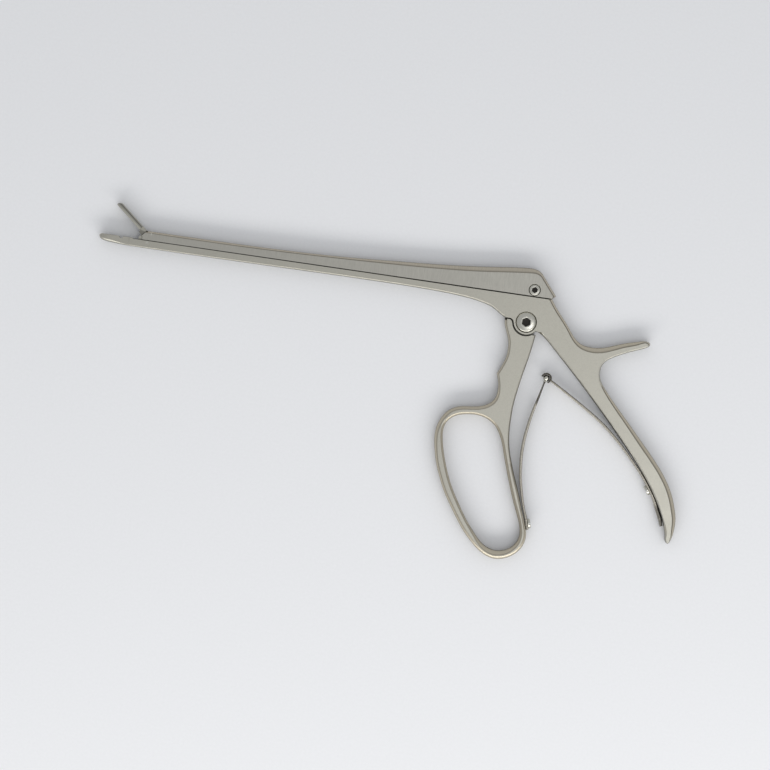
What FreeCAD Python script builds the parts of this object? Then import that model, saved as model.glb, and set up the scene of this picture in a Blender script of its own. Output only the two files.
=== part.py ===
import FreeCAD, Part
import math
import os

# Bone rongeur with a hinged upper cup jaw, a sliding shaft and two leaf springs.
# The instrument lies on its side: +X runs to the rear, +Y is up in use, +Z is its thickness.
# The origin is on the axis of the main pivot, on the side that lies down. Sizes in millimetres.

V = FreeCAD.Vector

# Main sizes: from the pivot axis to the jaw tip, to the parting plane, and to the ring's lowest point
shaft_reach = 189.7
parting_y = 11.5
ring_drop = 104.0


def section_scale():
    """Size of the shafts' section and of the knuckle against the drawn outlines."""
    drawn_parting = 11.5
    return parting_y / drawn_parting


def along(x):
    """Place along the shaft: jaw end and knuckle keep their shape, and the shaft between stretches."""
    drawn_reach = 189.7
    root = -20.0
    end = -155.0
    scale = section_scale()
    if x >= root:
        return x * scale
    if x <= end:
        return (x + drawn_reach) * scale - shaft_reach
    near = root * scale
    far = (end + drawn_reach) * scale - shaft_reach
    return near + (far - near) * (root - x) / (root - end)


def level(y):
    """Height: the handles stretch below the knuckle."""
    drawn_drop = 104.0
    root = -8.0
    scale = section_scale()
    if y >= root:
        return y * scale
    return root * scale - (root - y) * (ring_drop + root * scale) / (drawn_drop + root)


def drawn(points):
    """Outline points placed for the main sizes; a third number, a width, is kept."""
    placed = []
    for point in points:
        in_shaft = point[1] >= -8.0
        x = along(point[0]) if in_shaft else point[0] * section_scale()
        placed.append((x, level(point[1])) + tuple(point[2:]))
    return placed


# Thickness
thickness = 6.0
mid = thickness / 2
shaft_front_half = 2.5
taper_from_x = along(-20.0)
taper_to_x = along(-150.0)
bevel_depth = 1.2

# Clearances
slide_gap = 0.03
running = 0.05
pin_seat = 0.01
side_play = 0.05
knuckle_gap = 0.2
stop_gap = 0.06
screw_fit = 0.02
screw_recess = 0.1

# The two shafts' flat faces beside the parting plane
lower_top_y = parting_y - slide_gap
upper_bottom_y = parting_y + slide_gap
lower_parting_band = 0.3
upper_parting_band = 0.2

# Main pivot screw
knuckle_r = 5.7
stop_y = 0.6
main_head_r = 4.0
main_counterbore_r = 4.6
main_counterbore_depth = 1.3
main_crown = 0.35
main_crown_ring = 0.7
main_shank_r = 2.5
main_hex = 3.5
main_hex_depth = 1.2

# Drive screw in the sliding shaft
drive_y = parting_y + 2.9
drive_lean = math.radians(6.6)
drive_x = drive_y * math.tan(drive_lean)
drive_head_r = 2.25
drive_counterbore_r = 2.6
drive_counterbore_depth = 1.2
drive_crown = 0.25
drive_crown_ring = 0.4
drive_shank_r = 1.5
drive_hex = 2.3
drive_hex_depth = 1.0

# Handle tang inside the knuckle and the sliding shaft
tang_half = 1.0
tang_boss_r = 5.5
tang_top_r = 2.65
tang_room_front_x = -5.6
tang_room_rear_x = 6.2
slide_room_front_x = -3.2
slide_room_rear_x = 6.6

# Upper jaw hinge
jaw_open = 40.0
jaw_pivot_x = along(-168.4)
jaw_pivot_y = parting_y - 0.9
jaw_pivot_r = 0.65
jaw_arm_height = drive_y - jaw_pivot_y
jaw_half_swing = math.radians(jaw_open / 2)
drive_pin_r = 0.5
drive_pin_x = jaw_pivot_x + jaw_arm_height * math.tan(jaw_half_swing)
stroke = 2 * jaw_arm_height * math.tan(jaw_half_swing)
jaw_boss_r = 1.35
jaw_neck_half = 0.75
jaw_arm_half = 1.05
jaw_arm_wall = 0.45
ear_inner = jaw_neck_half + side_play
ear_outer = 1.45
fork_half = ear_outer + side_play
fork_end_x = jaw_pivot_x + 4.9
ear_front_x = jaw_pivot_x - 4.0
ear_rear_x = jaw_pivot_x + 1.5
ear_top_y = parting_y + 1.7
ear_corner = 0.9
ear_root = 1.0
neck_slot_floor_y = jaw_pivot_y - jaw_boss_r - 0.15

# Cup jaws
jaw_base_x = jaw_pivot_x - 6.2
jaw_tip_x = -shaft_reach
jaw_round_x = jaw_tip_x + 5.3
neck_slot_front_x = jaw_base_x - 0.6
neck_slot_rear_x = jaw_pivot_x + jaw_boss_r + 0.45
jaw_join_x = jaw_base_x - 1.4
jaw_rim_y = parting_y + 0.4
jaw_back_y = jaw_rim_y + 2.15
jaw_half = shaft_front_half
jaw_edge_r = 0.9
jaw_waist_half = 0.72 * jaw_half
jaw_waist_back = 0.9
bowl_r = 1.85
bowl_offset = 0.35
bowl_front_x = jaw_tip_x + 1.2
bowl_rear_x = jaw_base_x - 1.7
lower_rim_y = jaw_rim_y - 0.05
lower_jaw_bottom_y = level(8.0)
notch_x = jaw_tip_x + 9.75
notch_r = 0.95
jaw_nose_r = 2.2

# Guide feet of the sliding shaft
foot_length = 8.0
foot_x = (along(-150.0), along(-62.0))
foot_neck_half = 0.6
foot_head_half = 1.2
foot_neck_y = parting_y - 0.9
foot_bottom_y = foot_neck_y - 0.8

# Leaf springs
leaf_half = 2.0
leaf_neck_half = 0.9
ball_x = along(12.3)
ball_y = level(-22.8)
ball_r = 1.45
socket_inner_r = ball_r + 0.13
socket_outer_r = 2.3
socket_half = 1.7
ball_neck_r = 0.55
ball_foot_dx = -0.62
ball_foot_dy = -1.95
spring_screw_head_r = 2.2
spring_screw_head_height = 1.2
spring_screw_shank_r = 1.0
spring_screw_shank_length = 2.2
spring_screw_slot = 0.8
spring_screw_slot_depth = 0.7
spring_screw_edge = 0.4
leaf_thickness = 1.0
leaf_neck_y = level(-33.5)
clamp_gap = 0.04
clamp_reach = 2.5


def on_circle(radius, degrees):
    """Point on a circle round the pivot axis."""
    angle = math.radians(degrees)
    return (radius * math.cos(angle), radius * math.sin(angle))


def runs_frame():
    """Outline of the fixed frame, counter-clockwise. Each run: kind, bevel width, points after its start."""
    arc_end = on_circle(knuckle_r, 190.7)
    arc_far = on_circle(knuckle_r, 322.1)
    top_rear = (along(9.75), lower_top_y)
    heel_x = along(-9.4)
    return [
        ("line", lower_parting_band, [top_rear, (jaw_base_x, lower_top_y)]),
        ("line", 0.1, [(jaw_base_x - 0.3, lower_rim_y), (jaw_tip_x + 1.3, lower_rim_y)]),
        ("curve", 0.1, drawn([(-189.5, 10.9), (-188.9, 9.75), (-187.4, 9.05), (-184.0, 8.6),
                              (-179.5, 8.3), (-175.0, 8.15)])),
        ("curve", 0.75, drawn([(-150.0, 8.1), (-100.0, 8.3), (-60.0, 8.3), (-45.0, 8.05), (-30.0, 7.25),
                               (-20.0, 5.8), (-16.0, 4.6), (-12.5, 2.6), (-11.0, 1.6), (-9.5, 0.9)])),
        ("line", 0.1, [(heel_x, stop_y), (along(-7.2), stop_y)]),
        ("curve", 0.1, drawn([(-6.15, 0.1)]) + [arc_end]),
        ("arc", 0.1, [(0.0, -knuckle_r), arc_far]),
        ("line", 0.1, drawn([(5.9, -3.6)])),
        ("curve", 0.7, drawn([(7.9, -4.75), (12.0, -8.3), (20.0, -15.9), (35.0, -30.8), (50.0, -46.7),
                              (67.8, -70.2), (71.3, -77.4), (73.1, -83.2, 0.7), (74.0, -86.2, 0.4),
                              (74.8, -86.7, 0.4), (75.5, -85.9, 0.5), (76.6, -81.5, 0.9),
                              (76.8, -76.7, 1.2), (75.8, -71.7, 1.2), (73.3, -64.9, 1.2),
                              (58.9, -46.1, 1.2), (48.6, -35.2, 1.2), (37.8, -23.4, 1.3),
                              (35.6, -20.0, 1.4), (35.8, -13.3, 1.6), (41.1, -9.1, 1.7),
                              (45.6, -6.9, 1.7), (50.0, -5.1, 1.4), (53.6, -3.5, 1.0), (54.6, -2.7, 0.9),
                              (54.8, -1.6, 0.9), (53.9, -0.95, 0.9), (50.0, -1.3, 1.4), (44.4, -2.8, 1.9),
                              (32.2, -6.7, 2.3), (28.9, -6.8, 2.2), (25.0, -6.0, 1.8), (22.2, -4.1, 1.4),
                              (20.0, -1.5, 1.2), (16.9, 2.5, 1.2), (13.1, 6.9, 1.2)])
         + [top_rear + (1.2,)]),
    ]


def runs_slide():
    """Outline of the sliding shaft, counter-clockwise."""
    front_x = along(-170.9)
    return [
        ("line", upper_parting_band, [(front_x, upper_bottom_y), (along(9.6), upper_bottom_y)]),
        ("line", 0.5, drawn([(11.3, 12.9)])),
        ("line", 1.2, drawn([(4.6, 21.1)])),
        ("curve", 1.2, drawn([(3.6, 22.15, 1.5), (1.6, 23.2, 1.9), (-1.0, 23.5, 2.2), (-4.0, 23.35, 2.3),
                              (-20.0, 21.5, 2.3), (-60.0, 18.15, 1.85), (-80.0, 16.9, 1.4),
                              (-100.0, 16.1, 1.3), (-150.0, 15.6, 1.8), (-169.3, 15.6, 1.6)])),
        ("line", 0.3, drawn([(-171.45, 13.3), (-170.9, 12.6)]) + [(front_x, upper_bottom_y)]),
    ]


def runs_handle():
    """Outer outline of the finger ring handle, counter-clockwise."""
    gap_r = knuckle_r + knuckle_gap
    shoulder_y = stop_y - stop_gap
    shoulder = (along(-9.4), shoulder_y)
    return [
        ("curve", 1.0, [shoulder] + drawn([(-9.1, -1.9), (-6.5, -9.1), (-6.15, -12.0), (-6.3, -15.3),
                                           (-7.3, -18.9), (-9.5, -23.9)])),
        ("curve", 1.0, drawn([(-8.0, -30.0), (-8.1, -33.1, 1.2), (-9.2, -35.6, 1.4), (-15.0, -39.1, 1.6),
                              (-24.4, -40.7, 1.6), (-27.5, -42.4, 1.6), (-30.0, -45.3, 1.6),
                              (-32.4, -53.5, 1.5), (-31.6, -60.0, 1.3), (-30.0, -66.2, 1.2),
                              (-27.5, -72.5, 1.2), (-24.4, -78.8, 1.2), (-20.0, -85.6, 1.2),
                              (-15.6, -91.9, 1.2), (-11.2, -96.9, 1.2), (1.1, -103.9, 1.2),
                              (12.0, -97.6, 1.2), (13.3, -93.2, 1.2), (12.4, -87.8, 1.1),
                              (10.0, -81.3, 1.0), (7.5, -74.4, 1.0), (5.0, -68.1, 1.0), (2.5, -61.3, 0.9),
                              (0.5, -54.4, 0.8), (-0.45, -42.0, 0.8), (-0.1, -35.0, 0.8),
                              (0.6, -30.0, 0.8), (1.9, -22.5, 0.8), (3.3, -15.6, 0.8), (4.9, -5.05, 0.7)])),
        ("line", 0.1, [on_circle(gap_r, 301.7)]),
        ("arc", 0.1, [on_circle(gap_r, 255.3), on_circle(gap_r, 190.7)]),
        ("curve", 0.1, drawn([(-6.35, 0.0)]) + [(along(-7.3), shoulder_y)]),
        ("line", 0.1, [shoulder]),
    ]


def runs_ring_hole():
    """Outline of the finger ring's opening, clockwise, so that the metal lies on the left."""
    return [
        ("curve", 1.1, drawn([(-15.0, -43.1), (-10.5, -44.2), (-6.9, -46.6), (-4.6, -49.8), (-1.2, -58.8),
                              (3.8, -73.3), (6.3, -79.6), (8.9, -85.6), (10.3, -90.4), (9.9, -94.6),
                              (6.6, -98.6), (0.4, -100.2), (-5.0, -98.1), (-8.8, -94.4), (-13.1, -89.2),
                              (-17.5, -82.6), (-21.4, -76.1), (-26.9, -62.5), (-28.5, -56.3),
                              (-28.2, -48.3), (-24.0, -44.5), (-20.0, -43.4), (-15.0, -43.1)])),
    ]


def unpack(runs):
    """Runs as lists of (point, bevel width); each run starts where the run before it ended."""
    last = runs[-1][2][-1]
    result = []
    for kind, band, points in runs:
        spots = [] if last[:2] == points[0][:2] else [((last[0], last[1]), band)]
        for point in points:
            width = point[2] if len(point) > 2 else band
            spots.append(((point[0], point[1]), width))
        result.append((kind, spots))
        last = points[-1]
    return result


def direction(a, b):
    length = math.hypot(b[0] - a[0], b[1] - a[1])
    return ((b[0] - a[0]) / length, (b[1] - a[1]) / length)


def mitre(point, d_in, d_out, band_in, band_out):
    """Inner corner of a bevel whose two widths may differ."""
    cross = d_in[0] * d_out[1] - d_in[1] * d_out[0]
    n_in = (-d_in[1], d_in[0])
    n_out = (-d_out[1], d_out[0])
    if abs(cross) < 0.2:
        nx = n_in[0] + n_out[0]
        ny = n_in[1] + n_out[1]
        size = math.hypot(nx, ny)
        band = (band_in + band_out) / 2
        return (point[0] + nx / size * band, point[1] + ny / size * band)
    ax = point[0] + n_in[0] * band_in
    ay = point[1] + n_in[1] * band_in
    bx = point[0] + n_out[0] * band_out
    by = point[1] + n_out[1] * band_out
    step = ((bx - ax) * d_out[1] - (by - ay) * d_out[0]) / cross
    return (ax + d_in[0] * step, ay + d_in[1] * step)


def inset(pieces):
    """The inner outline of the bevel, with as many runs and points as the outer one."""
    smooth_closed = len(pieces) == 1
    result = []
    for index, (kind, spots) in enumerate(pieces):
        before = pieces[index - 1][1]
        after = pieces[(index + 1) % len(pieces)][1]
        moved = []
        for place, (point, band) in enumerate(spots):
            first = place == 0
            final = place == len(spots) - 1
            back = before[-2] if first else spots[place - 1]
            ahead = after[1] if final else spots[place + 1]
            band_in = before[-1][1] if first and not smooth_closed else band
            band_out = after[0][1] if final and not smooth_closed else band
            d_in = direction(back[0], point)
            d_out = direction(point, ahead[0])
            moved.append((mitre(point, d_in, d_out, band_in, band_out), band))
        result.append((kind, moved))
    return result


def wire_at(pieces, z):
    edges = []
    for kind, spots in pieces:
        points = [V(p[0], p[1], z) for p, band in spots]
        if kind == "line":
            for a, b in zip(points, points[1:]):
                edges.append(Part.makeLine(a, b))
        elif kind == "arc":
            edges.append(Part.Arc(points[0], points[1], points[2]).toShape())
        else:
            curve = Part.BSplineCurve()
            if len(pieces) == 1:
                curve.interpolate(Points=points[:-1], PeriodicFlag=True)
            else:
                curve.interpolate(points)
            edges += [span.toShape() for span in curve.toBezier()]
    return Part.Wire(edges)


def bevelled_plate(runs, over=0.0):
    """Plate of full thickness whose edges are bevelled by each run's width."""
    outer = unpack(runs)
    inner = inset(outer)
    levels = [(inner, 0.0), (outer, bevel_depth), (outer, thickness - bevel_depth), (inner, thickness)]
    if over:
        levels = [(inner, -over)] + levels + [(inner, thickness + over)]
    wires = [wire_at(pieces, z) for pieces, z in levels]
    layers = []
    for low, high in zip(wires, wires[1:]):
        layers.append(Part.makeLoft([low, high], True, True))
    body = layers[0]
    for layer in layers[1:]:
        body = body.fuse(layer)
    return body.removeSplitter()


def box(x0, x1, y0, y1, z0, z1):
    return Part.makeBox(x1 - x0, y1 - y0, z1 - z0, V(x0, y0, z0))


def slab(x0, x1, y0, y1, half):
    """Box centred on the middle plane."""
    return box(x0, x1, y0, y1, mid - half, mid + half)


def post(x, y, radius, z0, z1):
    return Part.makeCylinder(radius, z1 - z0, V(x, y, z0), V(0, 0, 1))


def polygon_plate(points, z0, z1):
    spots = [V(x, y, z0) for x, y in points]
    spots.append(spots[0])
    face = Part.Face(Part.makePolygon(spots))
    return face.extrude(V(0, 0, z1 - z0))


def capsule_plate(a, b, radius_a, radius_b, z0, z1):
    """Plate whose outline is two circles and their common tangents."""
    dx = b[0] - a[0]
    dy = b[1] - a[1]
    length = math.hypot(dx, dy)
    base = math.atan2(dy, dx)
    turn = math.acos((radius_a - radius_b) / length)
    corners = []
    for centre, radius, side in ((a, radius_a, -1), (b, radius_b, -1), (b, radius_b, 1), (a, radius_a, 1)):
        angle = base + side * turn
        corners.append((centre[0] + radius * math.cos(angle), centre[1] + radius * math.sin(angle)))
    plate = polygon_plate(corners, z0, z1)
    plate = plate.fuse(post(a[0], a[1], radius_a, z0, z1))
    plate = plate.fuse(post(b[0], b[1], radius_b, z0, z1))
    return plate.removeSplitter()


def hexagon(x, y, across, z0, z1):
    radius = across / math.sqrt(3)
    points = []
    for step in range(6):
        angle = math.radians(60 * step)
        points.append((x + radius * math.cos(angle), y + radius * math.sin(angle)))
    return polygon_plate(points, z0, z1)


def shaft_envelope():
    """Thickness of the whole instrument seen from above: full at the rear, slimmer towards the jaws."""
    beyond = 2 * max(shaft_reach, ring_drop)
    half = [(beyond, mid), (taper_from_x, mid), (taper_to_x, shaft_front_half), (-beyond, shaft_front_half)]
    spots = [V(x, -beyond, mid + h) for x, h in half] + [V(x, -beyond, mid - h) for x, h in reversed(half)]
    spots.append(spots[0])
    return Part.Face(Part.makePolygon(spots)).extrude(V(0, 2 * beyond, 0))


def jaw_envelope(y0, y1):
    """Spoon-shaped outline of a jaw seen from above, between two heights."""
    waist_x = jaw_tip_x + jaw_waist_back
    left = V(jaw_round_x, y0, mid - jaw_half)
    right = V(jaw_round_x, y0, mid + jaw_half)
    back_left = V(fork_end_x, y0, mid - jaw_half)
    back_right = V(fork_end_x, y0, mid + jaw_half)
    nose = Part.BSplineCurve()
    nose_points = [left, V(waist_x, y0, mid - jaw_waist_half), V(jaw_tip_x, y0, mid),
                   V(waist_x, y0, mid + jaw_waist_half), right]
    nose.interpolate(Points=nose_points, InitialTangent=V(-1, 0, 0), FinalTangent=V(1, 0, 0))
    edges = [Part.makeLine(back_left, left), nose.toShape()]
    edges.append(Part.makeLine(right, back_right))
    edges.append(Part.makeLine(back_right, back_left))
    return Part.Face(Part.Wire(edges)).extrude(V(0, y1 - y0, 0))


def rounded_bar(y0, y1, round_top):
    """Bar along the jaw with two long edges rounded."""
    bar = slab(jaw_tip_x - 1.0, fork_end_x, y0, y1, jaw_half)
    side_y = y1 if round_top else y0
    edges = []
    for edge in bar.Edges:
        room = edge.BoundBox
        if room.XLength > bowl_r and abs(room.YMin - side_y) < 1e-6 and abs(room.YMax - side_y) < 1e-6:
            edges.append(edge)
    return bar.makeFillet(jaw_edge_r, edges)


def bowl(rim_y, side):
    """Hollow of a cup jaw; side is +1 when the jaw's body lies above its rim."""
    centre_y = rim_y - side * bowl_offset
    front = bowl_front_x + bowl_r
    rear = bowl_rear_x - bowl_r
    hollow = Part.makeCylinder(bowl_r, rear - front, V(front, centre_y, mid), V(1, 0, 0))
    hollow = hollow.fuse(Part.makeSphere(bowl_r, V(front, centre_y, mid)))
    hollow = hollow.fuse(Part.makeSphere(bowl_r, V(rear, centre_y, mid)))
    return hollow


def tang_slot():
    """Room for the handle's tang in the knuckle and up to the parting plane."""
    half = tang_half + side_play
    room = post(0, 0, knuckle_r + knuckle_gap + 0.1, mid - half, mid + half)
    return room.fuse(slab(tang_room_front_x, tang_room_rear_x, 0.0, parting_y + 1.0, half))


def foot_slots():
    """T-shaped slots that guide the sliding shaft, each with a pocket where its foot goes in."""
    cut = None
    for x in foot_x:
        front = x - stroke - 0.1
        rear = x + foot_length + 0.1
        neck = slab(front, rear, foot_bottom_y, parting_y + 1.0, foot_neck_half + running)
        head = slab(front, rear, foot_bottom_y - running, foot_neck_y + running, foot_head_half + running)
        pocket_end = rear + foot_length + 0.4
        pocket = slab(rear, pocket_end, foot_bottom_y - running, parting_y + 1.0, foot_head_half + running)
        part = neck.fuse(head).fuse(pocket)
        cut = part if cut is None else cut.fuse(part)
    return cut


def clamp_seat(x, y, ahead_x, ahead_y):
    """Seat of a spring screw on a handle's edge, and the direction out of the metal there."""
    seat, ahead = drawn([(x, y), (ahead_x, ahead_y)])
    dx, dy = direction(seat, ahead)
    return V(seat[0], seat[1], mid), V(dy, -dx, 0)


front_clamp, front_out = clamp_seat(12.26, -87.1, 11.42, -84.21)
rear_clamp, rear_out = clamp_seat(63.95, -64.1, 65.645, -66.575)


def screw_hole(seat, out):
    depth = spring_screw_shank_length + 0.3
    start = seat.sub(out * depth)
    return Part.makeCylinder(spring_screw_shank_r + screw_fit, depth + 3.0, start, out)


def make_fixed_frame():
    body = bevelled_plate(runs_frame()).common(shaft_envelope())
    root_y = lower_top_y - ear_root
    ear_points = [(ear_front_x, root_y), (ear_rear_x, root_y), (ear_rear_x, ear_top_y),
                  (ear_front_x + ear_corner, ear_top_y), (ear_front_x, ear_top_y - ear_corner)]
    ears = polygon_plate(ear_points, mid - ear_outer, mid + ear_outer)
    body = body.fuse(ears)
    jaw_shape = jaw_envelope(0.0, 2 * drive_y).common(rounded_bar(lower_jaw_bottom_y, drive_y, False))
    trimmer = box(jaw_tip_x - 5.0, jaw_join_x, 0.0, drive_y, -1.0, thickness + 1.0).cut(jaw_shape)
    body = body.cut(trimmer)
    body = body.cut(bowl(lower_rim_y, -1))
    body = body.cut(post(notch_x, lower_rim_y, notch_r, -1.0, thickness + 1.0))
    body = body.cut(slab(neck_slot_front_x, neck_slot_rear_x, neck_slot_floor_y, ear_top_y + 1.0, ear_inner))
    body = body.cut(post(jaw_pivot_x, jaw_pivot_y, jaw_pivot_r + pin_seat, -1.0, thickness + 1.0))
    body = body.cut(foot_slots())
    body = body.cut(tang_slot())
    body = body.cut(post(0, 0, main_shank_r + screw_fit, -1.0, thickness + 1.0))
    body = body.cut(post(0, 0, main_counterbore_r, thickness - main_counterbore_depth, thickness + 1.0))
    body = body.cut(screw_hole(rear_clamp, rear_out))
    return body


def make_sliding_shaft():
    body = bevelled_plate(runs_slide()).common(shaft_envelope())
    body = body.cut(slab(jaw_tip_x, fork_end_x, upper_bottom_y - 1.0, 2 * drive_y, fork_half))
    half = tang_half + side_play
    top = drive_y + tang_top_r + 0.5
    body = body.cut(slab(slide_room_front_x, slide_room_rear_x, upper_bottom_y - 1.0, top, half))
    for x in foot_x:
        neck = slab(x, x + foot_length, foot_bottom_y, upper_bottom_y + 0.5, foot_neck_half)
        head = slab(x, x + foot_length, foot_bottom_y, foot_neck_y, foot_head_half)
        body = body.fuse(neck).fuse(head)
    body = body.cut(post(drive_pin_x, drive_y, drive_pin_r + pin_seat, -1.0, thickness + 1.0))
    body = body.cut(post(drive_x, drive_y, drive_shank_r + screw_fit, -1.0, thickness + 1.0))
    seat = thickness - drive_counterbore_depth
    body = body.cut(post(drive_x, drive_y, drive_counterbore_r, seat, thickness + 1.0))
    return body


def jaw_pin_slot():
    """Slot along the jaw's arm, drawn for the closed jaw, that the drive pin slides in."""
    angle = math.radians(90.0) + jaw_half_swing
    near = jaw_arm_height - running
    far = jaw_arm_height / math.cos(jaw_half_swing) + running
    a = (jaw_pivot_x + near * math.cos(angle), jaw_pivot_y + near * math.sin(angle))
    b = (jaw_pivot_x + far * math.cos(angle), jaw_pivot_y + far * math.sin(angle))
    radius = drive_pin_r + running
    return capsule_plate(a, b, radius, radius, -1.0, thickness + 1.0)


def make_upper_jaw():
    shape = jaw_envelope(jaw_rim_y, jaw_back_y).common(rounded_bar(jaw_rim_y, jaw_back_y, True))
    shape = shape.common(box(jaw_tip_x - 1.0, jaw_base_x, 0.0, 2 * drive_y, -1.0, thickness + 1.0))
    nose_x = jaw_tip_x + jaw_nose_r
    nose = post(nose_x, jaw_rim_y, jaw_nose_r, 0.0, thickness)
    keep = nose.fuse(box(nose_x, jaw_base_x + 1.0, 0.0, 2 * drive_y, 0.0, thickness))
    cup = shape.common(keep).cut(bowl(jaw_rim_y, 1))
    neck = slab(jaw_base_x, jaw_pivot_x, jaw_rim_y - 0.9, jaw_back_y, jaw_neck_half)
    root = slab(jaw_base_x - 0.5, jaw_base_x + 0.1, jaw_rim_y + 0.3, jaw_back_y, jaw_neck_half)
    neck = neck.fuse(root)
    angle = math.radians(90.0) + jaw_half_swing
    reach = jaw_arm_height / math.cos(jaw_half_swing) + drive_pin_r + running + jaw_arm_wall - jaw_arm_half
    tip = (jaw_pivot_x + reach * math.cos(angle), jaw_pivot_y + reach * math.sin(angle))
    low = mid - jaw_neck_half
    high = mid + jaw_neck_half
    arm = capsule_plate((jaw_pivot_x, jaw_pivot_y), tip, jaw_boss_r, jaw_arm_half, low, high)
    body = cup.fuse(neck).fuse(arm)
    body = body.cut(jaw_pin_slot())
    body = body.cut(post(jaw_pivot_x, jaw_pivot_y, jaw_pivot_r + running, -1.0, thickness + 1.0))
    body.rotate(V(jaw_pivot_x, jaw_pivot_y, 0), V(0, 0, 1), -jaw_open)
    return body


def make_finger_ring_handle():
    plate = bevelled_plate(runs_handle()).cut(bevelled_plate(runs_ring_hole(), 1.0))
    low = mid - tang_half
    high = mid + tang_half
    tang = capsule_plate((0.0, 0.0), (drive_x, drive_y), tang_boss_r, tang_top_r, low, high)
    root_points = drawn([(-4.6, 0.0), (-6.0, -3.2), (-3.0, -8.0), (3.0, -8.0), (4.0, -6.4), (3.4, -3.0)])
    root = polygon_plate(root_points, low, high)
    body = plate.fuse(tang.fuse(root))
    body = body.cut(post(0, 0, main_shank_r + running, -1.0, thickness + 1.0))
    lean = (math.sin(drive_lean), math.cos(drive_lean))
    reach = math.hypot(drive_x, drive_y)
    near = drive_y - running
    far = reach + running
    radius = drive_shank_r + running
    slot = capsule_plate((near * lean[0], near * lean[1]), (far * lean[0], far * lean[1]),
                         radius, radius, -1.0, thickness + 1.0)
    body = body.cut(slot)
    body = body.cut(screw_hole(front_clamp, front_out))
    return body


def crowned_screw(x, y, head_r, seat_z, crown, ring, shank_r, across, socket_depth):
    """Screw along the thickness: crowned head with a hexagon socket, and a shank to the far side."""
    top_z = thickness - screw_recess
    head = post(x, y, head_r, seat_z, top_z)
    head = head.fuse(Part.makeCone(head_r, head_r - ring, crown, V(x, y, top_z), V(0, 0, 1)))
    body = head.fuse(post(x, y, shank_r, screw_recess, seat_z)).removeSplitter()
    crown_z = top_z + crown
    return body.cut(hexagon(x, y, across, crown_z - socket_depth, crown_z + 1.0))


def make_main_pivot_screw():
    seat = thickness - main_counterbore_depth
    return crowned_screw(0, 0, main_head_r, seat, main_crown, main_crown_ring, main_shank_r,
                         main_hex, main_hex_depth)


def make_drive_screw():
    seat = thickness - drive_counterbore_depth
    return crowned_screw(drive_x, drive_y, drive_head_r, seat, drive_crown, drive_crown_ring, drive_shank_r,
                         drive_hex, drive_hex_depth)


def make_pin(x, y, radius):
    reach = shaft_front_half - side_play
    return post(x, y, radius, mid - reach, mid + reach)


def leaf_ribbon(spine):
    """Outline of a leaf seen from the side, from points along its middle with the thickness there."""
    left = []
    right = []
    for index, (x, y, width) in enumerate(spine):
        back = spine[max(index - 1, 0)]
        ahead = spine[min(index + 1, len(spine) - 1)]
        dx, dy = direction(back, ahead)
        left.append(V(x - dy * width / 2, y + dx * width / 2, 0))
        right.append(V(x + dy * width / 2, y - dx * width / 2, 0))
    right.reverse()
    edges = []
    for side, after in ((left, right), (right, left)):
        curve = Part.BSplineCurve()
        curve.interpolate(side)
        edges += [span.toShape() for span in curve.toBezier()]
        edges.append(Part.makeLine(side[-1], after[0]))
    return Part.Face(Part.Wire(edges))


def along_edge(seat, out, distance, lift):
    """Point beside a clamp seat: distance along the edge, lift out of the metal."""
    return (seat.x - out.y * distance + out.x * lift, seat.y + out.x * distance + out.y * lift)


def clamped_stretch(seat, out):
    """Straight stretch of a leaf under its screw's head, as points along the leaf's middle."""
    lift = clamp_gap + leaf_thickness / 2
    places = (-clamp_reach, -clamp_reach / 3, clamp_reach / 3, clamp_reach)
    return [along_edge(seat, out, place, lift) + (leaf_thickness,) for place in places]


def front_spine():
    arm = drawn([(10.6, -80.3, 1.0), (8.6, -73.2, 1.1), (7.2, -66.8, 1.15), (6.55, -61.0, 1.2),
                 (6.3, -56.0, 1.25), (6.6, -50.0, 1.25), (7.45, -43.5, 1.2), (8.8, -36.8, 1.1),
                 (10.3, -30.8, 0.9), (11.35, -26.2, 0.7), (11.75, -24.4, 0.7)])
    return clamped_stretch(front_clamp, front_out) + arm


def leaf_bore(seat, out):
    """Hole through a leaf for its clamp screw."""
    start = seat.sub(out * leaf_thickness)
    return Part.makeCylinder(spring_screw_shank_r + screw_fit, 5 * leaf_thickness, start, out)


def make_front_leaf():
    leaf = leaf_ribbon(front_spine()).extrude(V(0, 0, 2 * leaf_half))
    leaf.translate(V(0, 0, mid - leaf_half))
    top_y = ball_y + 4 * ball_r
    beside = box(0.0, 2 * ball_x, leaf_neck_y, top_y, -1.0, thickness + 1.0)
    leaf = leaf.cut(beside.cut(slab(0.0, 2 * ball_x, leaf_neck_y, top_y, leaf_neck_half)))
    leaf = leaf.cut(ball_solid())
    return leaf.cut(leaf_bore(front_clamp, front_out))


def ball_solid():
    start = V(ball_x, ball_y, mid)
    neck = V(ball_foot_dx, ball_foot_dy, 0)
    ball = Part.makeSphere(ball_r, start)
    return ball.fuse(Part.makeCylinder(ball_neck_r, neck.Length, start, neck))


def rear_spine():
    arm = drawn([(14.0, -23.4, 0.9), (20.0, -26.9, 1.0), (30.0, -32.9, 1.1), (40.0, -39.6, 1.15),
                 (47.2, -45.8, 1.1), (54.5, -53.2, 1.0)])
    tab = drawn([(67.55, -71.5, 1.3), (70.0, -76.7, 1.4), (71.0, -79.5, 1.2)])
    return arm + clamped_stretch(rear_clamp, rear_out) + tab


def make_rear_leaf():
    leaf = leaf_ribbon(rear_spine()).extrude(V(0, 0, 2 * leaf_half))
    leaf.translate(V(0, 0, mid - leaf_half))
    leaf = leaf.cut(post(ball_x, ball_y, socket_outer_r, -1.0, thickness + 1.0))
    return leaf.cut(leaf_bore(rear_clamp, rear_out))


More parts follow.
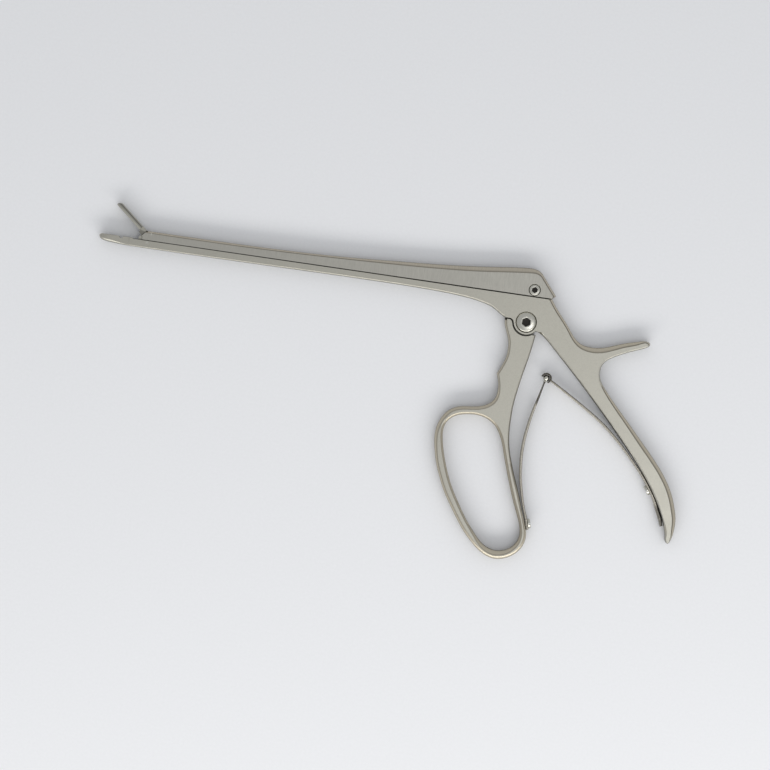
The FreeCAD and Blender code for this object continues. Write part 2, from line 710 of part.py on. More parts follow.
def make_spring_socket():
    low = mid - socket_half
    high = mid + socket_half
    ring = post(ball_x, ball_y, socket_outer_r, low, high)
    ring = ring.cut(post(ball_x, ball_y, socket_inner_r, -1.0, thickness + 1.0))
    mouth_low = math.radians(168.0)
    mouth_high = math.radians(292.0)
    reach = 3 * socket_outer_r
    mouth = [(ball_x, ball_y)]
    for step in range(4):
        angle = mouth_low + (mouth_high - mouth_low) * step / 3
        mouth.append((ball_x + reach * math.cos(angle), ball_y + reach * math.sin(angle)))
    return ring.cut(polygon_plate(mouth, -1.0, thickness + 1.0))


def make_spring_screw(seat, out):
    head_start = seat + out * (leaf_thickness + 2 * clamp_gap)
    head = Part.makeCylinder(spring_screw_head_r, spring_screw_head_height, head_start, out)
    far = spring_screw_head_height / 2
    rim = [edge for edge in head.Edges if edge.Closed and edge.CenterOfMass.sub(head_start).Length > far]
    head = head.makeChamfer(spring_screw_edge, rim)
    foot = seat.sub(out * spring_screw_shank_length)
    shank_length = spring_screw_shank_length + leaf_thickness + 2 * clamp_gap + spring_screw_edge / 2
    shank = Part.makeCylinder(spring_screw_shank_r, shank_length, foot, out)
    body = head.fuse(shank)
    crown = head_start + out * spring_screw_head_height
    side = V(-out.y, out.x, 0) * (spring_screw_slot / 2)
    floor = crown - out * spring_screw_slot_depth
    above = crown + out
    corners = [floor - side, floor + side, above + side, above - side]
    slot = polygon_plate([(corner.x, corner.y) for corner in corners], -1.0, thickness + 1.0)
    return body.cut(slot)


def export(name, shape):
    solids = shape.Solids
    if len(solids) != 1:
        print("WARNING", name, "has", len(solids), "solids", [round(s.Volume, 3) for s in solids])
    if not shape.isValid():
        print("WARNING", name, "is not valid")
    result = max(solids, key=lambda s: s.Volume)
    result.exportStep("parts/" + name + ".step")
    print(name, round(result.Volume, 2), [round(v, 2) for v in (result.BoundBox.XMin, result.BoundBox.XMax,
          result.BoundBox.YMin, result.BoundBox.YMax, result.BoundBox.ZMin, result.BoundBox.ZMax)])


os.makedirs("parts", exist_ok=True)
export("fixed_frame", make_fixed_frame())
export("sliding_shaft", make_sliding_shaft())
export("upper_jaw", make_upper_jaw())
export("finger_ring_handle", make_finger_ring_handle())
export("main_pivot_screw", make_main_pivot_screw())
export("drive_screw", make_drive_screw())
export("jaw_pivot_pin", make_pin(jaw_pivot_x, jaw_pivot_y, jaw_pivot_r))
export("jaw_drive_pin", make_pin(drive_pin_x, drive_y, drive_pin_r))
export("front_leaf_spring", make_front_leaf())
export("rear_leaf_spring", make_rear_leaf())
export("spring_ball", ball_solid())
export("spring_socket", make_spring_socket())
export("front_spring_screw", make_spring_screw(front_clamp, front_out))
export("rear_spring_screw", make_spring_screw(rear_clamp, rear_out))
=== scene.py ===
"""Bone rongeur: steel pieces, finish, floor, light and camera."""

import math

import bmesh
import bpy
import numpy as np
from bpy.props import FloatProperty, FloatVectorProperty, PointerProperty
from mathutils import Matrix, Vector
from mathutils.bvhtree import BVHTree
from mathutils.interpolate import poly_3d_calc


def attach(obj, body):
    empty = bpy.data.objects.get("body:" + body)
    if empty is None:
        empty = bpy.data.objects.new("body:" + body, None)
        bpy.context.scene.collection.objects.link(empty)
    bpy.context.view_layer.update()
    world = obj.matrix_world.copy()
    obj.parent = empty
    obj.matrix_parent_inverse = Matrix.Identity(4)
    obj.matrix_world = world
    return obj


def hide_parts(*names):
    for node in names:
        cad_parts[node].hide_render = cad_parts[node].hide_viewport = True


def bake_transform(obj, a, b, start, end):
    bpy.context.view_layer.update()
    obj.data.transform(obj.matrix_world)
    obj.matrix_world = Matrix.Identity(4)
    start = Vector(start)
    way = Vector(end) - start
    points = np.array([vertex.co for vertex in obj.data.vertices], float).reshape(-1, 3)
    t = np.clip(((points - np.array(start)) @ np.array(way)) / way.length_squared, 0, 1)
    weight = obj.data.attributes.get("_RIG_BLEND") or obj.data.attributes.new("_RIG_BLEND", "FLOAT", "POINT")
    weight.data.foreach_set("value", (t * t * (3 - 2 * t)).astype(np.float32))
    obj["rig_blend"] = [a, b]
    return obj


bl_info = {
    "name": "Bone Rongeur",
    "version": (1, 0, 0),
    "blender": (4, 2, 0),
    "location": "3D View > Sidebar > Rongeur",
    "description": "Builds a bone rongeur with its steel finish, floor, light and camera",
    "category": "Object",
}

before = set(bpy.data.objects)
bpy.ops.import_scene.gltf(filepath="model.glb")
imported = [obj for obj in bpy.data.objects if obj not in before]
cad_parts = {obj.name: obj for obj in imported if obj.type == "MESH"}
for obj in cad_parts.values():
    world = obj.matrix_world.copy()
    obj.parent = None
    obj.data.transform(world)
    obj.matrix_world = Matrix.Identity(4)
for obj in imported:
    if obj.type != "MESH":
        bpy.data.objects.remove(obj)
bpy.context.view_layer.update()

MM = 0.001
WELD = 1e-7  # metres within which two points are one
# Values kept with every vertex, both painted light: its share of the bevels' painted light, and its painted
# shade, how much darker or lighter it is painted
PAINTED_LIGHT_LAYERS = ("band", "shade")
# How much lighter and warmer the bevels are painted, standing in for the light they catch
BEVEL_PAINTED_LIGHT = (0.30, 0.22, 0.12)

# Places and sizes in millimetres, from the pivot axis
PAST = 1.0  # how far a cut runs past a face
PARTING_GAP = 0.03  # on either side of the parting plane
TAPER_START, TAPER_LENGTH = -20.0, 130.0
MAIN_SEAT_DEPTH, DRIVE_SEAT_DEPTH = 1.3, 1.2
DRIVE_X, DRIVE_RISE = 1.666, 2.9
SWING = 20.0  # degrees that the upper jaw turns to either side of the middle
JAW_PIVOT_X, JAW_PIVOT_DROP, JAW_PIN_X = -168.4, 0.9, -167.017
JAW_TIP, JAW_ROOT, JAW_HALF = -189.7, -176.0, 2.5
FOOT_PLACES, FOOT_LENGTH = (-150.0, -62.0), 8.0
SLOT_HALF, TANG_HALF, NECK_HALF = 1.05, 1.0, 0.75
NARROW_BEVEL, NARROW_FULLNESS, BEVEL_STEPS = 1.0, 1.8, 7
OUTLINE_STEP = 0.8


def size_property(label, text, value):
    return FloatProperty(name=label, description=text, default=value * MM, unit="LENGTH",
                         subtype="DISTANCE", precision=5)


def colour_property(label, text, value):
    return FloatVectorProperty(name=label, description=text, default=value, size=3, min=0.0,
                               max=1.0, subtype="COLOR")


class RongeurSizes(bpy.types.PropertyGroup):
    thickness: size_property("Thickness", "Thickness of the handles and the knuckle", 6.0)
    front_thickness: size_property("Front thickness", "Thickness of both shafts near the jaws", 5.0)
    bevel_depth: size_property("Bevel depth", "Depth of the bevel along every outer edge", 1.2)
    parting_height: size_property("Parting height", "Height of the parting plane above the pivot axis", 11.5)
    knuckle_radius: size_property("Knuckle radius", "Radius of the round knuckle below the pivot screw", 5.7)
    main_head_radius: size_property("Pivot screw head", "Head radius of the main pivot screw", 4.0)
    main_seat_radius: size_property("Pivot screw seat", "Radius of the pivot screw's counterbore", 4.6)
    drive_head_radius: size_property("Drive screw head", "Head radius of the drive screw", 2.25)
    drive_seat_radius: size_property("Drive screw seat", "Radius of the drive screw's counterbore", 2.6)
    leaf_half: size_property("Leaf half width", "Half the width of both leaf springs", 2.0)
    ball_radius: size_property("Ball radius", "Radius of the ball that joins the two leaf springs", 1.45)


class RongeurFinish(bpy.types.PropertyGroup):
    steel: colour_property("Steel", "Colour of the satin steel", (0.475, 0.462, 0.405))
    slide_steel: colour_property("Slide steel", "Colour of the brushed sliding shaft", (0.445, 0.434, 0.39))
    screw_steel: colour_property("Screw steel", "Colour of the turned screws", (0.6, 0.59, 0.53))
    spring_steel: colour_property("Spring steel", "Colour of the leaf springs", (0.34, 0.32, 0.275))
    # Painted shade: a darker copy of the spring steel for the ball's socket
    dark_spring_steel: colour_property("Dark spring steel", "Colour of the ball's socket",
                                       (0.11, 0.10, 0.08))
    # Painted shade: a dark colour put in sockets, slots and narrow joints, where shade falls
    recess: colour_property("Recess", "Colour inside sockets, slots and narrow joints",
                            (0.045, 0.042, 0.038))
    floor: colour_property("Floor", "Colour of the floor", (0.86, 0.87, 0.89))


# Curves


def end_slope(params, values):
    """Slope at the first value of the parabola through the first three."""
    if len(values) < 3:
        return (values[1] - values[0]) / (params[1] - params[0])
    a = params[1] - params[0]
    b = params[2] - params[0]
    first = (values[1] - values[0]) / a
    second = (values[2] - values[0]) / b
    return (first * b - second * a) / (b - a)


def curve_through(points, counts, closed=False):
    """Points on the smooth curve through the given points, counts[i] steps on span i."""
    pts = np.array(points, dtype=float)
    chord = np.linalg.norm(np.diff(pts, axis=0), axis=1)
    params = np.concatenate([[0.0], np.cumsum(chord)])
    n = len(pts)
    matrix = np.zeros((n, n))
    right = np.zeros((n, pts.shape[1]))
    for i in range(1, n - 1):
        h0 = chord[i - 1]
        h1 = chord[i]
        matrix[i, i - 1] = h1
        matrix[i, i] = 2 * (h0 + h1)
        matrix[i, i + 1] = h0
        right[i] = 3 * (h1 * (pts[i] - pts[i - 1]) / h0 + h0 * (pts[i + 1] - pts[i]) / h1)
    if closed:
        h0 = chord[-1]
        h1 = chord[0]
        matrix[0, n - 2] = h1
        matrix[0, 0] = 2 * (h0 + h1)
        matrix[0, 1] = h0
        right[0] = 3 * (h1 * (pts[0] - pts[-2]) / h0 + h0 * (pts[1] - pts[0]) / h1)
        matrix[n - 1, 0] = 1
        matrix[n - 1, n - 1] = -1
    else:
        matrix[0, 0] = 1
        right[0] = end_slope(params, pts)
        matrix[n - 1, n - 1] = 1
        right[n - 1] = -end_slope(-params[::-1], pts[::-1])
    slopes = np.linalg.solve(matrix, right)
    result = []
    for i in range(n - 1):
        h = chord[i]
        for step in range(counts[i]):
            t = step / counts[i]
            a = (1 + 2 * t) * (1 - t) ** 2
            b = t * (1 - t) ** 2 * h
            c = t * t * (3 - 2 * t)
            d = t * t * (t - 1) * h
            result.append(a * pts[i] + b * slopes[i] + c * pts[i + 1] + d * slopes[i + 1])
    result.append(pts[-1])
    return result


def arc_through(points, counts):
    """Points on the circular arc through three points."""
    (ax, ay), (bx, by), (cx, cy) = [tuple(p) for p in points]
    d = 2 * (ax * (by - cy) + bx * (cy - ay) + cx * (ay - by))
    a2, b2, c2 = ax**2 + ay**2, bx**2 + by**2, cx**2 + cy**2
    ux = (a2 * (by - cy) + b2 * (cy - ay) + c2 * (ay - by)) / d
    uy = (a2 * (cx - bx) + b2 * (ax - cx) + c2 * (bx - ax)) / d
    radius = math.hypot(ax - ux, ay - uy)
    start = math.atan2(ay - uy, ax - ux)
    middle = (math.atan2(by - uy, bx - ux) - start) % (2 * math.pi)
    sweep = (math.atan2(cy - uy, cx - ux) - start) % (2 * math.pi)
    if middle > sweep:
        sweep -= 2 * math.pi
    total = sum(counts)
    result = []
    for step in range(total + 1):
        angle = start + sweep * step / total
        result.append(np.array([ux + radius * math.cos(angle), uy + radius * math.sin(angle)]))
    return result


def direction(a, b):
    length = math.hypot(b[0] - a[0], b[1] - a[1])
    return ((b[0] - a[0]) / length, (b[1] - a[1]) / length)


def mitre(point, d_in, d_out, band_in, band_out):
    """Inner corner of a bevel whose two widths may differ."""
    cross = d_in[0] * d_out[1] - d_in[1] * d_out[0]
    n_in = (-d_in[1], d_in[0])
    n_out = (-d_out[1], d_out[0])
    if abs(cross) < 0.2:
        nx = n_in[0] + n_out[0]
        ny = n_in[1] + n_out[1]
        size = math.hypot(nx, ny)
        band = (band_in + band_out) / 2
        return (point[0] + nx / size * band, point[1] + ny / size * band)
    ax = point[0] + n_in[0] * band_in
    ay = point[1] + n_in[1] * band_in
    bx = point[0] + n_out[0] * band_out
    by = point[1] + n_out[1] * band_out
    step = ((bx - ax) * d_out[1] - (by - ay) * d_out[0]) / cross
    return (ax + d_in[0] * step, ay + d_in[1] * step)


def unpack(runs):
    """Runs as (kind, points with bevel widths); each run starts where the run before it ended."""
    last = runs[-1][2][-1]
    result = []
    for kind, band, points in runs:
        spots = [] if last[:2] == points[0][:2] else [(last[:2], band)]
        for point in points:
            spots.append((point[:2], point[2] if len(point) > 2 else band))
        result.append((kind, spots))
        last = points[-1]
    return result


def inset(pieces):
    """The inner outline of the bevel, with as many runs and points as the outer one."""
    closed = len(pieces) == 1
    result = []
    for index, (kind, spots) in enumerate(pieces):
        before = pieces[index - 1][1]
        after = pieces[(index + 1) % len(pieces)][1]
        moved = []
        for place, (point, band) in enumerate(spots):
            first = place == 0
            final = place == len(spots) - 1
            back = before[-2] if first else spots[place - 1]
            ahead = after[1] if final else spots[place + 1]
            band_in = before[-1][1] if first and not closed else band
            band_out = after[0][1] if final and not closed else band
            d_in = direction(back[0], point)
            d_out = direction(point, ahead[0])
            moved.append((mitre(point, d_in, d_out, band_in, band_out), band))
        result.append((kind, moved))
    return result


def sample_outline(runs):
    """Outer and inner outline as matching lists of points, in millimetres."""
    outer_runs = unpack(runs)
    inner_runs = inset(outer_runs)
    outer = []
    inner = []
    closed = len(outer_runs) == 1
    for (kind, spots), (_, inner_spots) in zip(outer_runs, inner_runs):
        points = [spot[0] for spot in spots]
        spans = [math.dist(a, b) for a, b in zip(points, points[1:])]
        counts = [max(2 if kind != "line" else 1, round(span / OUTLINE_STEP)) for span in spans]
        for line, ends in ((outer, points), (inner, [spot[0] for spot in inner_spots])):
            if kind == "arc":
                line += arc_through(ends, counts)[:-1]
            elif kind == "line":
                line += straight(ends, counts)[:-1]
            else:
                line += curve_through(ends, counts, closed)[:-1]
    return outer, inner


def straight(points, counts):
    result = []
    for a, b, count in zip(points, points[1:], counts):
        for step in range(count):
            t = step / count
            result.append(np.array([a[0] + (b[0] - a[0]) * t, a[1] + (b[1] - a[1]) * t]))
    result.append(np.array(points[-1], dtype=float))
    return result


def on_circle(radius, degrees):
    angle = math.radians(degrees)
    return (radius * math.cos(angle), radius * math.sin(angle))


# Outlines of the three plates, in millimetres from the pivot axis. Each run has its kind, the
# bevel's width and its points; a third number is the bevel's width at that point.


def frame_outline(sizes):
    """Fixed frame behind the lower jaw: shaft, knuckle, palm handle and thumb spur."""
    knuckle = sizes.knuckle_radius / MM
    top = sizes.parting_height / MM - PARTING_GAP
    return [
        ("line", 0.3, [(9.75, top), (-174.6, top)]),
        ("line", 0.1, [(-174.9, top + 0.38), (-176.0, top + 0.38), (-176.0, 8.18)]),
        ("line", 0.75, [(-175.0, 8.15)]),
        ("curve", 0.75, [
            (-150.0, 8.1), (-100.0, 8.3), (-60.0, 8.3), (-45.0, 8.05), (-30.0, 7.25),
            (-20.0, 5.8), (-16.0, 4.6), (-12.5, 2.6), (-11.0, 1.6), (-9.5, 0.9)
        ]),
        ("line", 0.25, [(-9.4, 0.6), (-7.2, 0.6)]),
        ("curve", 0.25, [(-6.15, 0.1), on_circle(knuckle, 190.7)]),
        ("arc", 0.25, [(0.0, -knuckle), on_circle(knuckle, 322.1)]),
        ("line", 0.25, [(5.9, -3.6)]),
        ("curve", 0.7, [
            (7.9, -4.75), (12.0, -8.3), (20.0, -15.9), (35.0, -30.8), (50.0, -46.7),
            (67.8, -70.2), (71.3, -77.4), (73.1, -83.2, 0.7), (74.0, -86.2, 0.4),
            (74.8, -86.7, 0.4), (75.5, -85.9, 0.5), (76.6, -81.5, 1.2), (76.8, -76.7, 1.6),
            (75.8, -71.7, 1.8), (73.3, -64.9, 1.8), (58.9, -46.1, 1.8), (48.6, -35.2, 1.5),
            (37.8, -23.4, 1.0), (35.6, -20.0, 0.7), (35.8, -13.3, 0.6), (41.1, -9.1, 0.6),
            (45.6, -6.9, 0.6), (50.0, -5.1, 0.6), (53.6, -3.5, 0.6), (54.6, -2.7, 0.7),
            (54.8, -1.6, 0.9), (53.9, -0.95, 0.9), (50.0, -1.3, 1.4), (44.4, -2.8, 1.9),
            (32.2, -6.7, 2.3), (28.9, -6.8, 2.2), (25.0, -6.0, 1.8), (22.2, -4.1, 1.4),
            (20.0, -1.5, 1.2), (16.9, 2.5, 1.2), (13.1, 6.9, 1.2), (9.75, top, 1.2)
        ]),
    ]


def slide_outline(sizes):
    bottom = sizes.parting_height / MM + PARTING_GAP
    return [
        ("line", 0.2, [(-170.9, bottom), (9.6, bottom)]),
        ("line", 0.5, [(11.3, 12.9)]),
        ("line", 1.2, [(4.6, 21.1)]),
        ("curve", 1.2, [
            (3.6, 22.15, 1.5), (1.6, 23.2, 1.9), (-1.0, 23.5, 2.2), (-4.0, 23.35, 2.3),
            (-20.0, 21.5, 2.3), (-60.0, 18.15, 1.85), (-80.0, 16.9, 1.4), (-100.0, 16.1, 1.3),
            (-150.0, 15.6, 1.8), (-169.3, 15.6, 1.6)
        ]),
        ("line", 0.45, [(-171.45, 13.3), (-170.9, 12.6), (-170.9, bottom)]),
    ]


def handle_outline(sizes):
    gap = sizes.knuckle_radius / MM + 0.2
    return [
        ("curve", 1.0, [
            (-9.4, 0.54), (-9.1, -1.9), (-6.5, -9.1), (-6.15, -12.0), (-6.3, -15.3),
            (-7.3, -18.9), (-9.5, -23.9)
        ]),
        ("curve", 1.0, [
            (-8.0, -30.0), (-8.1, -33.1, 1.2), (-9.2, -35.6, 1.4), (-15.0, -39.1, 1.6),
            (-24.4, -40.7, 1.6), (-27.5, -42.4, 1.6), (-30.0, -45.3, 1.6), (-32.4, -53.5, 1.5),
            (-31.6, -60.0, 1.3), (-30.0, -66.2, 1.2), (-27.5, -72.5, 1.2), (-24.4, -78.8, 1.2),
            (-20.0, -85.6, 1.2), (-15.6, -91.9, 1.2), (-11.2, -96.9, 1.2), (1.1, -103.9, 1.2),
            (12.0, -97.6, 1.2), (13.3, -93.2, 1.2), (12.4, -87.8, 1.1), (10.0, -81.3, 1.0),
            (7.5, -74.4, 1.0), (5.0, -68.1, 1.0), (2.5, -61.3, 0.9), (0.5, -54.4, 0.8),
            (-0.45, -42.0, 0.8), (-0.1, -35.0, 0.8), (0.6, -30.0, 0.8), (1.9, -22.5, 0.8),
            (3.3, -15.6, 0.8), (4.9, -5.05, 0.7)
        ]),
        ("line", 0.25, [on_circle(gap, 301.7)]),
        ("arc", 0.25, [on_circle(gap, 255.3), on_circle(gap, 190.7)]),
        ("curve", 0.25, [(-6.35, 0.0), (-7.3, 0.54)]),
        ("line", 0.25, [(-9.4, 0.54)]),
    ]


def ring_outline():
    """The finger ring's opening, clockwise."""
    return [
        ("curve", 1.1, [
            (-15.0, -43.1), (-10.5, -44.2), (-6.9, -46.6), (-4.6, -49.8), (-1.2, -58.8),
            (3.8, -73.3), (6.3, -79.6), (8.9, -85.6), (10.3, -90.4), (9.9, -94.6, 1.3),
            (6.6, -98.6, 1.7), (0.4, -100.2, 2.2), (-5.0, -98.1, 1.8), (-8.8, -94.4, 1.3),
            (-13.1, -89.2), (-17.5, -82.6), (-21.4, -76.1), (-26.9, -62.5), (-28.5, -56.3),
            (-28.2, -48.3), (-24.0, -44.5), (-20.0, -43.4), (-15.0, -43.1)
        ]),
    ]


# Meshes


def ramp(value, start, span):
    """Rises evenly from nothing at the start to one over the span, which may run backwards."""
    return min(max((value - start) / span, 0.0), 1.0)


def half_thickness(sizes, x):
    """Half the instrument's thickness at a place along it, in millimetres."""
    full = sizes.thickness / MM / 2
    slim = sizes.front_thickness / MM / 2
    return full + (slim - full) * ramp(x, TAPER_START, -TAPER_LENGTH)


def bevel_profile(fullness, steps):
    """Shares of the bevel's width and depth, from the flat face to the side."""
    shares = []
    for step in range(steps + 1):
        angle = math.pi / 2 * step / steps
        across = math.sin(angle) ** (2 / fullness)
        down = 1 - math.cos(angle) ** (2 / fullness)
        shares.append((across, down))
    return shares


def add_loop(bm, spots):
    """Closed loop of edges through points, in millimetres."""
    verts = [bm.verts.new([value * MM for value in spot]) for spot in spots]
    return [bm.edges.new(pair) for pair in zip(verts, verts[1:] + verts[:1])]


def skin(bm, loops):
    """Walls between neighbouring loops."""
    for first, second in zip(loops, loops[1:]):
        bmesh.ops.bridge_loops(bm, edges=first + second)


def cap(bm, loop):
    bmesh.ops.contextual_create(bm, geom=loop)


def close_loft(bm, loops):
    """Skins the loops and closes both ends."""
    skin(bm, loops)
    cap(bm, loops[0])
    cap(bm, loops[-1])
    bmesh.ops.recalc_face_normals(bm, faces=bm.faces)
    return bm


def painted_light_layers(bm):
    """The painted light and painted shade layers kept with every vertex, made where they are missing."""
    values = bm.verts.layers.float
    return [values.get(name) or values.new(name) for name in PAINTED_LIGHT_LAYERS]


def dip(place, centre, reach):
    """One at the centre, falling evenly to nothing at the reach."""
    return max(0.0, 1 - abs(place - centre) / reach)


def bevel_painted_light(width, across, line):
    """Painted light and painted shade of a bevel of a width in millimetres: its share of the bevels' painted
    light, and a fine dark line of painted shade at either border.
    """
    if across == 0.0:
        return 0.0, 0.0
    place = across * width
    # Painted shade: dark lines along the bevel's inner border and its outer edge
    inner = line * dip(place, 0.24, 0.36) if width > 0.9 else 0.0
    outer = 0.6 * dip(place, width, 0.3)
    return ramp(width, 0.7, 0.4), -max(inner, outer)


def plate_loops(bm, sizes, runs, fullness, line):
    """Bevelled wall along an outline, narrow bevels rounder; returns the two flat faces' loops. Each point
    gets the bevels' painted light and painted shade; line sets how dark the painted shade line at the inner
    border is.
    """
    outer, inner = sample_outline(runs)
    mid = sizes.thickness / MM / 2
    depth = sizes.bevel_depth / MM
    profile = list(zip(bevel_profile(fullness, BEVEL_STEPS), bevel_profile(NARROW_FULLNESS, BEVEL_STEPS)))
    band, shade = painted_light_layers(bm)
    sides = []
    for side in (1, -1):
        loops = []
        for wide, narrow in profile:
            spots = []
            painted = []
            for a, b in zip(outer, inner):
                width = math.dist(a, b)
                share = ramp(width, NARROW_BEVEL, -0.25)
                across, down = [x + (y - x) * share for x, y in zip(wide, narrow)]
                painted.append(bevel_painted_light(width, across, line))
                drop = mid - half_thickness(sizes, a[0])
                edge = a + (b - a) * (1 - drop / depth)
                spot = edge + (a - edge) * across
                spots.append((spot[0], spot[1], mid + side * (mid - drop - (depth - drop) * down)))
            loop = add_loop(bm, spots)
            for edge, pair in zip(loop, painted):
                edge.verts[0][band], edge.verts[0][shade] = pair
            loops.append(loop)
        sides.append(loops)
    order = sides[0] + sides[1][::-1]
    skin(bm, order)
    return order[0], order[-1]


def plate_mesh(sizes, runs, fullness, line):
    bm = bmesh.new()
    top, bottom = plate_loops(bm, sizes, runs, fullness, line)
    cap(bm, top)
    cap(bm, bottom)
    for x in (TAPER_START, TAPER_START - TAPER_LENGTH):
        geometry = bm.verts[:] + bm.edges[:] + bm.faces[:]
        bmesh.ops.bisect_plane(bm, geom=geometry, dist=WELD, plane_co=(x * MM, 0, 0), plane_no=(1, 0, 0))
    bmesh.ops.recalc_face_normals(bm, faces=bm.faces)
    return bm


def ring_plate_mesh(sizes, runs, hole_runs, fullness, line):
    """Plate with one opening."""
    bm = bmesh.new()
    top, bottom = plate_loops(bm, sizes, runs, fullness, line)
    hole_top, hole_bottom = plate_loops(bm, sizes, hole_runs, fullness, line)
    for loop, hole in ((top, hole_top), (bottom, hole_bottom)):
        bmesh.ops.triangle_fill(bm, edges=loop + hole, use_beauty=True, use_dissolve=False)
    bmesh.ops.recalc_face_normals(bm, faces=bm.faces)
    return bm


def block(low, high):
    """Box between two corners, in millimetres."""
    bm = bmesh.new()
    size = [(b - a) * MM for a, b in zip(low, high)]
    centre = [(a + b) / 2 * MM for a, b in zip(low, high)]
    matrix = Matrix.Translation(centre) @ Matrix.Diagonal((*size, 1.0))
    bmesh.ops.create_cube(bm, size=1.0, matrix=matrix)
    return bm


def extrude(bm, spots, way):
    """Body over a flat outline that is moved some way, in millimetres."""
    face = bm.faces.new([bm.verts.new([value * MM for value in spot]) for spot in spots])
    grown = bmesh.ops.extrude_face_region(bm, geom=[face])
    moved = [item for item in grown["geom"] if isinstance(item, bmesh.types.BMVert)]
    bmesh.ops.translate(bm, verts=moved, vec=[value * MM for value in way])
    bmesh.ops.recalc_face_normals(bm, faces=bm.faces)
    return bm


def prism(points, z0, z1):
    return extrude(bmesh.new(), [(x, y, z0) for x, y in points], (0.0, 0.0, z1 - z0))


def add_foot(bm, x, base, mid):
    """T-shaped guide foot below the sliding shaft."""
    half = [(0.6, base + 0.5), (0.6, 10.6), (1.2, 10.6), (1.2, 9.8)]
    points = half + [(-z, y) for z, y in reversed(half)]
    extrude(bm, [(x, y, mid + z) for z, y in points], (FOOT_LENGTH, 0.0, 0.0))


def spin_profile(spots, centre, axis, steps):
    """Body turned from a profile, in metres."""
    bm = bmesh.new()
    verts = [bm.verts.new(spot) for spot in spots]
    edges = [bm.edges.new(pair) for pair in zip(verts, verts[1:])]
    bmesh.ops.spin(bm, geom=verts + edges, cent=centre, axis=axis, angle=2 * math.pi, steps=steps,
                   use_merge=True)
    bmesh.ops.remove_doubles(bm, verts=bm.verts, dist=WELD)
    bmesh.ops.recalc_face_normals(bm, faces=bm.faces)
    return bm


def turned(profile, x, y, steps=64):
    """Body turned round an axis along the thickness, from (radius, height) pairs in millimetres."""
    spots = [((x + r) * MM, y * MM, z * MM) for r, z in profile]
    return spin_profile(spots, (x * MM, y * MM, 0), (0, 0, 1), steps)


def post(x, y, radius, z0, z1):
    return turned([(0.0, z0), (radius, z0), (radius, z1), (0.0, z1)], x, y)


def seat_cutter(x, y, radius, floor, top):
    """Cutter for a screw's seat with a softened rim."""
    soft = 0.08
    return turned([(0.0, floor), (radius, floor), (radius, top - soft), (radius + soft, top),
                   (radius + soft, top + PAST), (0.0, top + PAST)], x, y, 96)


def capsule_points(a, b, radius_a, radius_b):
    """Outline of two circles and their common tangents."""
    steps = 32
    length = math.dist(a, b)
    base = math.atan2(b[1] - a[1], b[0] - a[0])
    turn = math.acos((radius_a - radius_b) / length)
    points = []
    for step in range(steps + 1):
        angle = base - turn + 2 * turn * step / steps
        points.append((b[0] + radius_b * math.cos(angle), b[1] + radius_b * math.sin(angle)))
    for step in range(steps + 1):
        angle = base + turn + (2 * math.pi - 2 * turn) * step / steps
        points.append((a[0] + radius_a * math.cos(angle), a[1] + radius_a * math.sin(angle)))
    return points


def object_from(bm, name):
    painted_light_layers(bm)
    mesh = bpy.data.meshes.new(name)
    bm.to_mesh(mesh)
    bm.free()
    obj = bpy.data.objects.new(name, mesh)
    bpy.context.scene.collection.objects.link(obj)
    return obj


def painted_light_by_place(mesh):
    values = [mesh.attributes[name].data for name in PAINTED_LIGHT_LAYERS]
    return {vert.co.to_tuple(8): (a.value, b.value) for vert, a, b in zip(mesh.vertices, *values)}


def keep_painted_light(mesh, old, tool):
    """Gives a carved mesh its two parents' painted light and painted shade; a new vertex takes them from the
    face it lies on.
    """
    known = {**painted_light_by_place(tool), **painted_light_by_place(old)}
    faces = [tuple(face.vertices) for face in old.polygons]
    tree = BVHTree.FromPolygons([vert.co for vert in old.vertices], faces)
    values = [mesh.attributes[name].data for name in PAINTED_LIGHT_LAYERS]
    for index, vert in enumerate(mesh.vertices):
        painted = known.get(vert.co.to_tuple(8))
        if painted is None:
            corners = old.polygons[tree.find_nearest(vert.co)[2]].vertices
            places = [old.vertices[corner].co for corner in corners]
            weights = poly_3d_calc(places, vert.co)
            around = [known[place.to_tuple(8)] for place in places]
            painted = [sum(weight * pair[i] for weight, pair in zip(weights, around)) for i in (0, 1)]
        for layer, tone in zip(values, painted):
            layer[index].value = tone


def carve(obj, bm, operation="DIFFERENCE"):
    """Cuts a mesh out of an object, or adds it."""
    tool = object_from(bm, "tool")
    step = obj.modifiers.new("carve", "BOOLEAN")
    step.operation = operation
    step.solver = "EXACT"
    step.object = tool
    graph = bpy.context.evaluated_depsgraph_get()
    mesh = bpy.data.meshes.new_from_object(obj.evaluated_get(graph))
    obj.modifiers.clear()
    old = obj.data
    keep_painted_light(mesh, old, tool.data)
    obj.data = mesh
    bpy.data.meshes.remove(old)
    tool_mesh = tool.data
    bpy.data.objects.remove(tool, do_unlink=True)
    bpy.data.meshes.remove(tool_mesh)


def finish_mesh(obj):
    """Smooth faces, with sharp edges at creases and along the borders of the flat faces."""
    bm = bmesh.new()
    bm.from_mesh(obj.data)
    bmesh.ops.remove_doubles(bm, verts=bm.verts, dist=3e-6)
    crease, border = math.radians(34.0), math.radians(9.0)
    for face in bm.faces:
        face.smooth = True
    for edge in bm.edges:
        turn = edge.calc_face_angle(0.0)
        flat = [abs(face.normal.z) > 0.9995 for face in edge.link_faces]
        edge.smooth = len(flat) == 2 and turn < (border if flat[0] != flat[1] else crease)
    bm.to_mesh(obj.data)
    bm.free()
    step = obj.modifiers.new("flat faces stay flat", "WEIGHTED_NORMAL")
    step.keep_sharp = True
    step.weight = 80


def place_piece(obj, body, node, slot, finish=None):
    """Lets a finished piece ride on its body in place of its node."""
    finish_mesh(obj)
    obj.data.materials.append(material_for(finish or slot))
    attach(obj, body)
    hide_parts(node)


# Finish


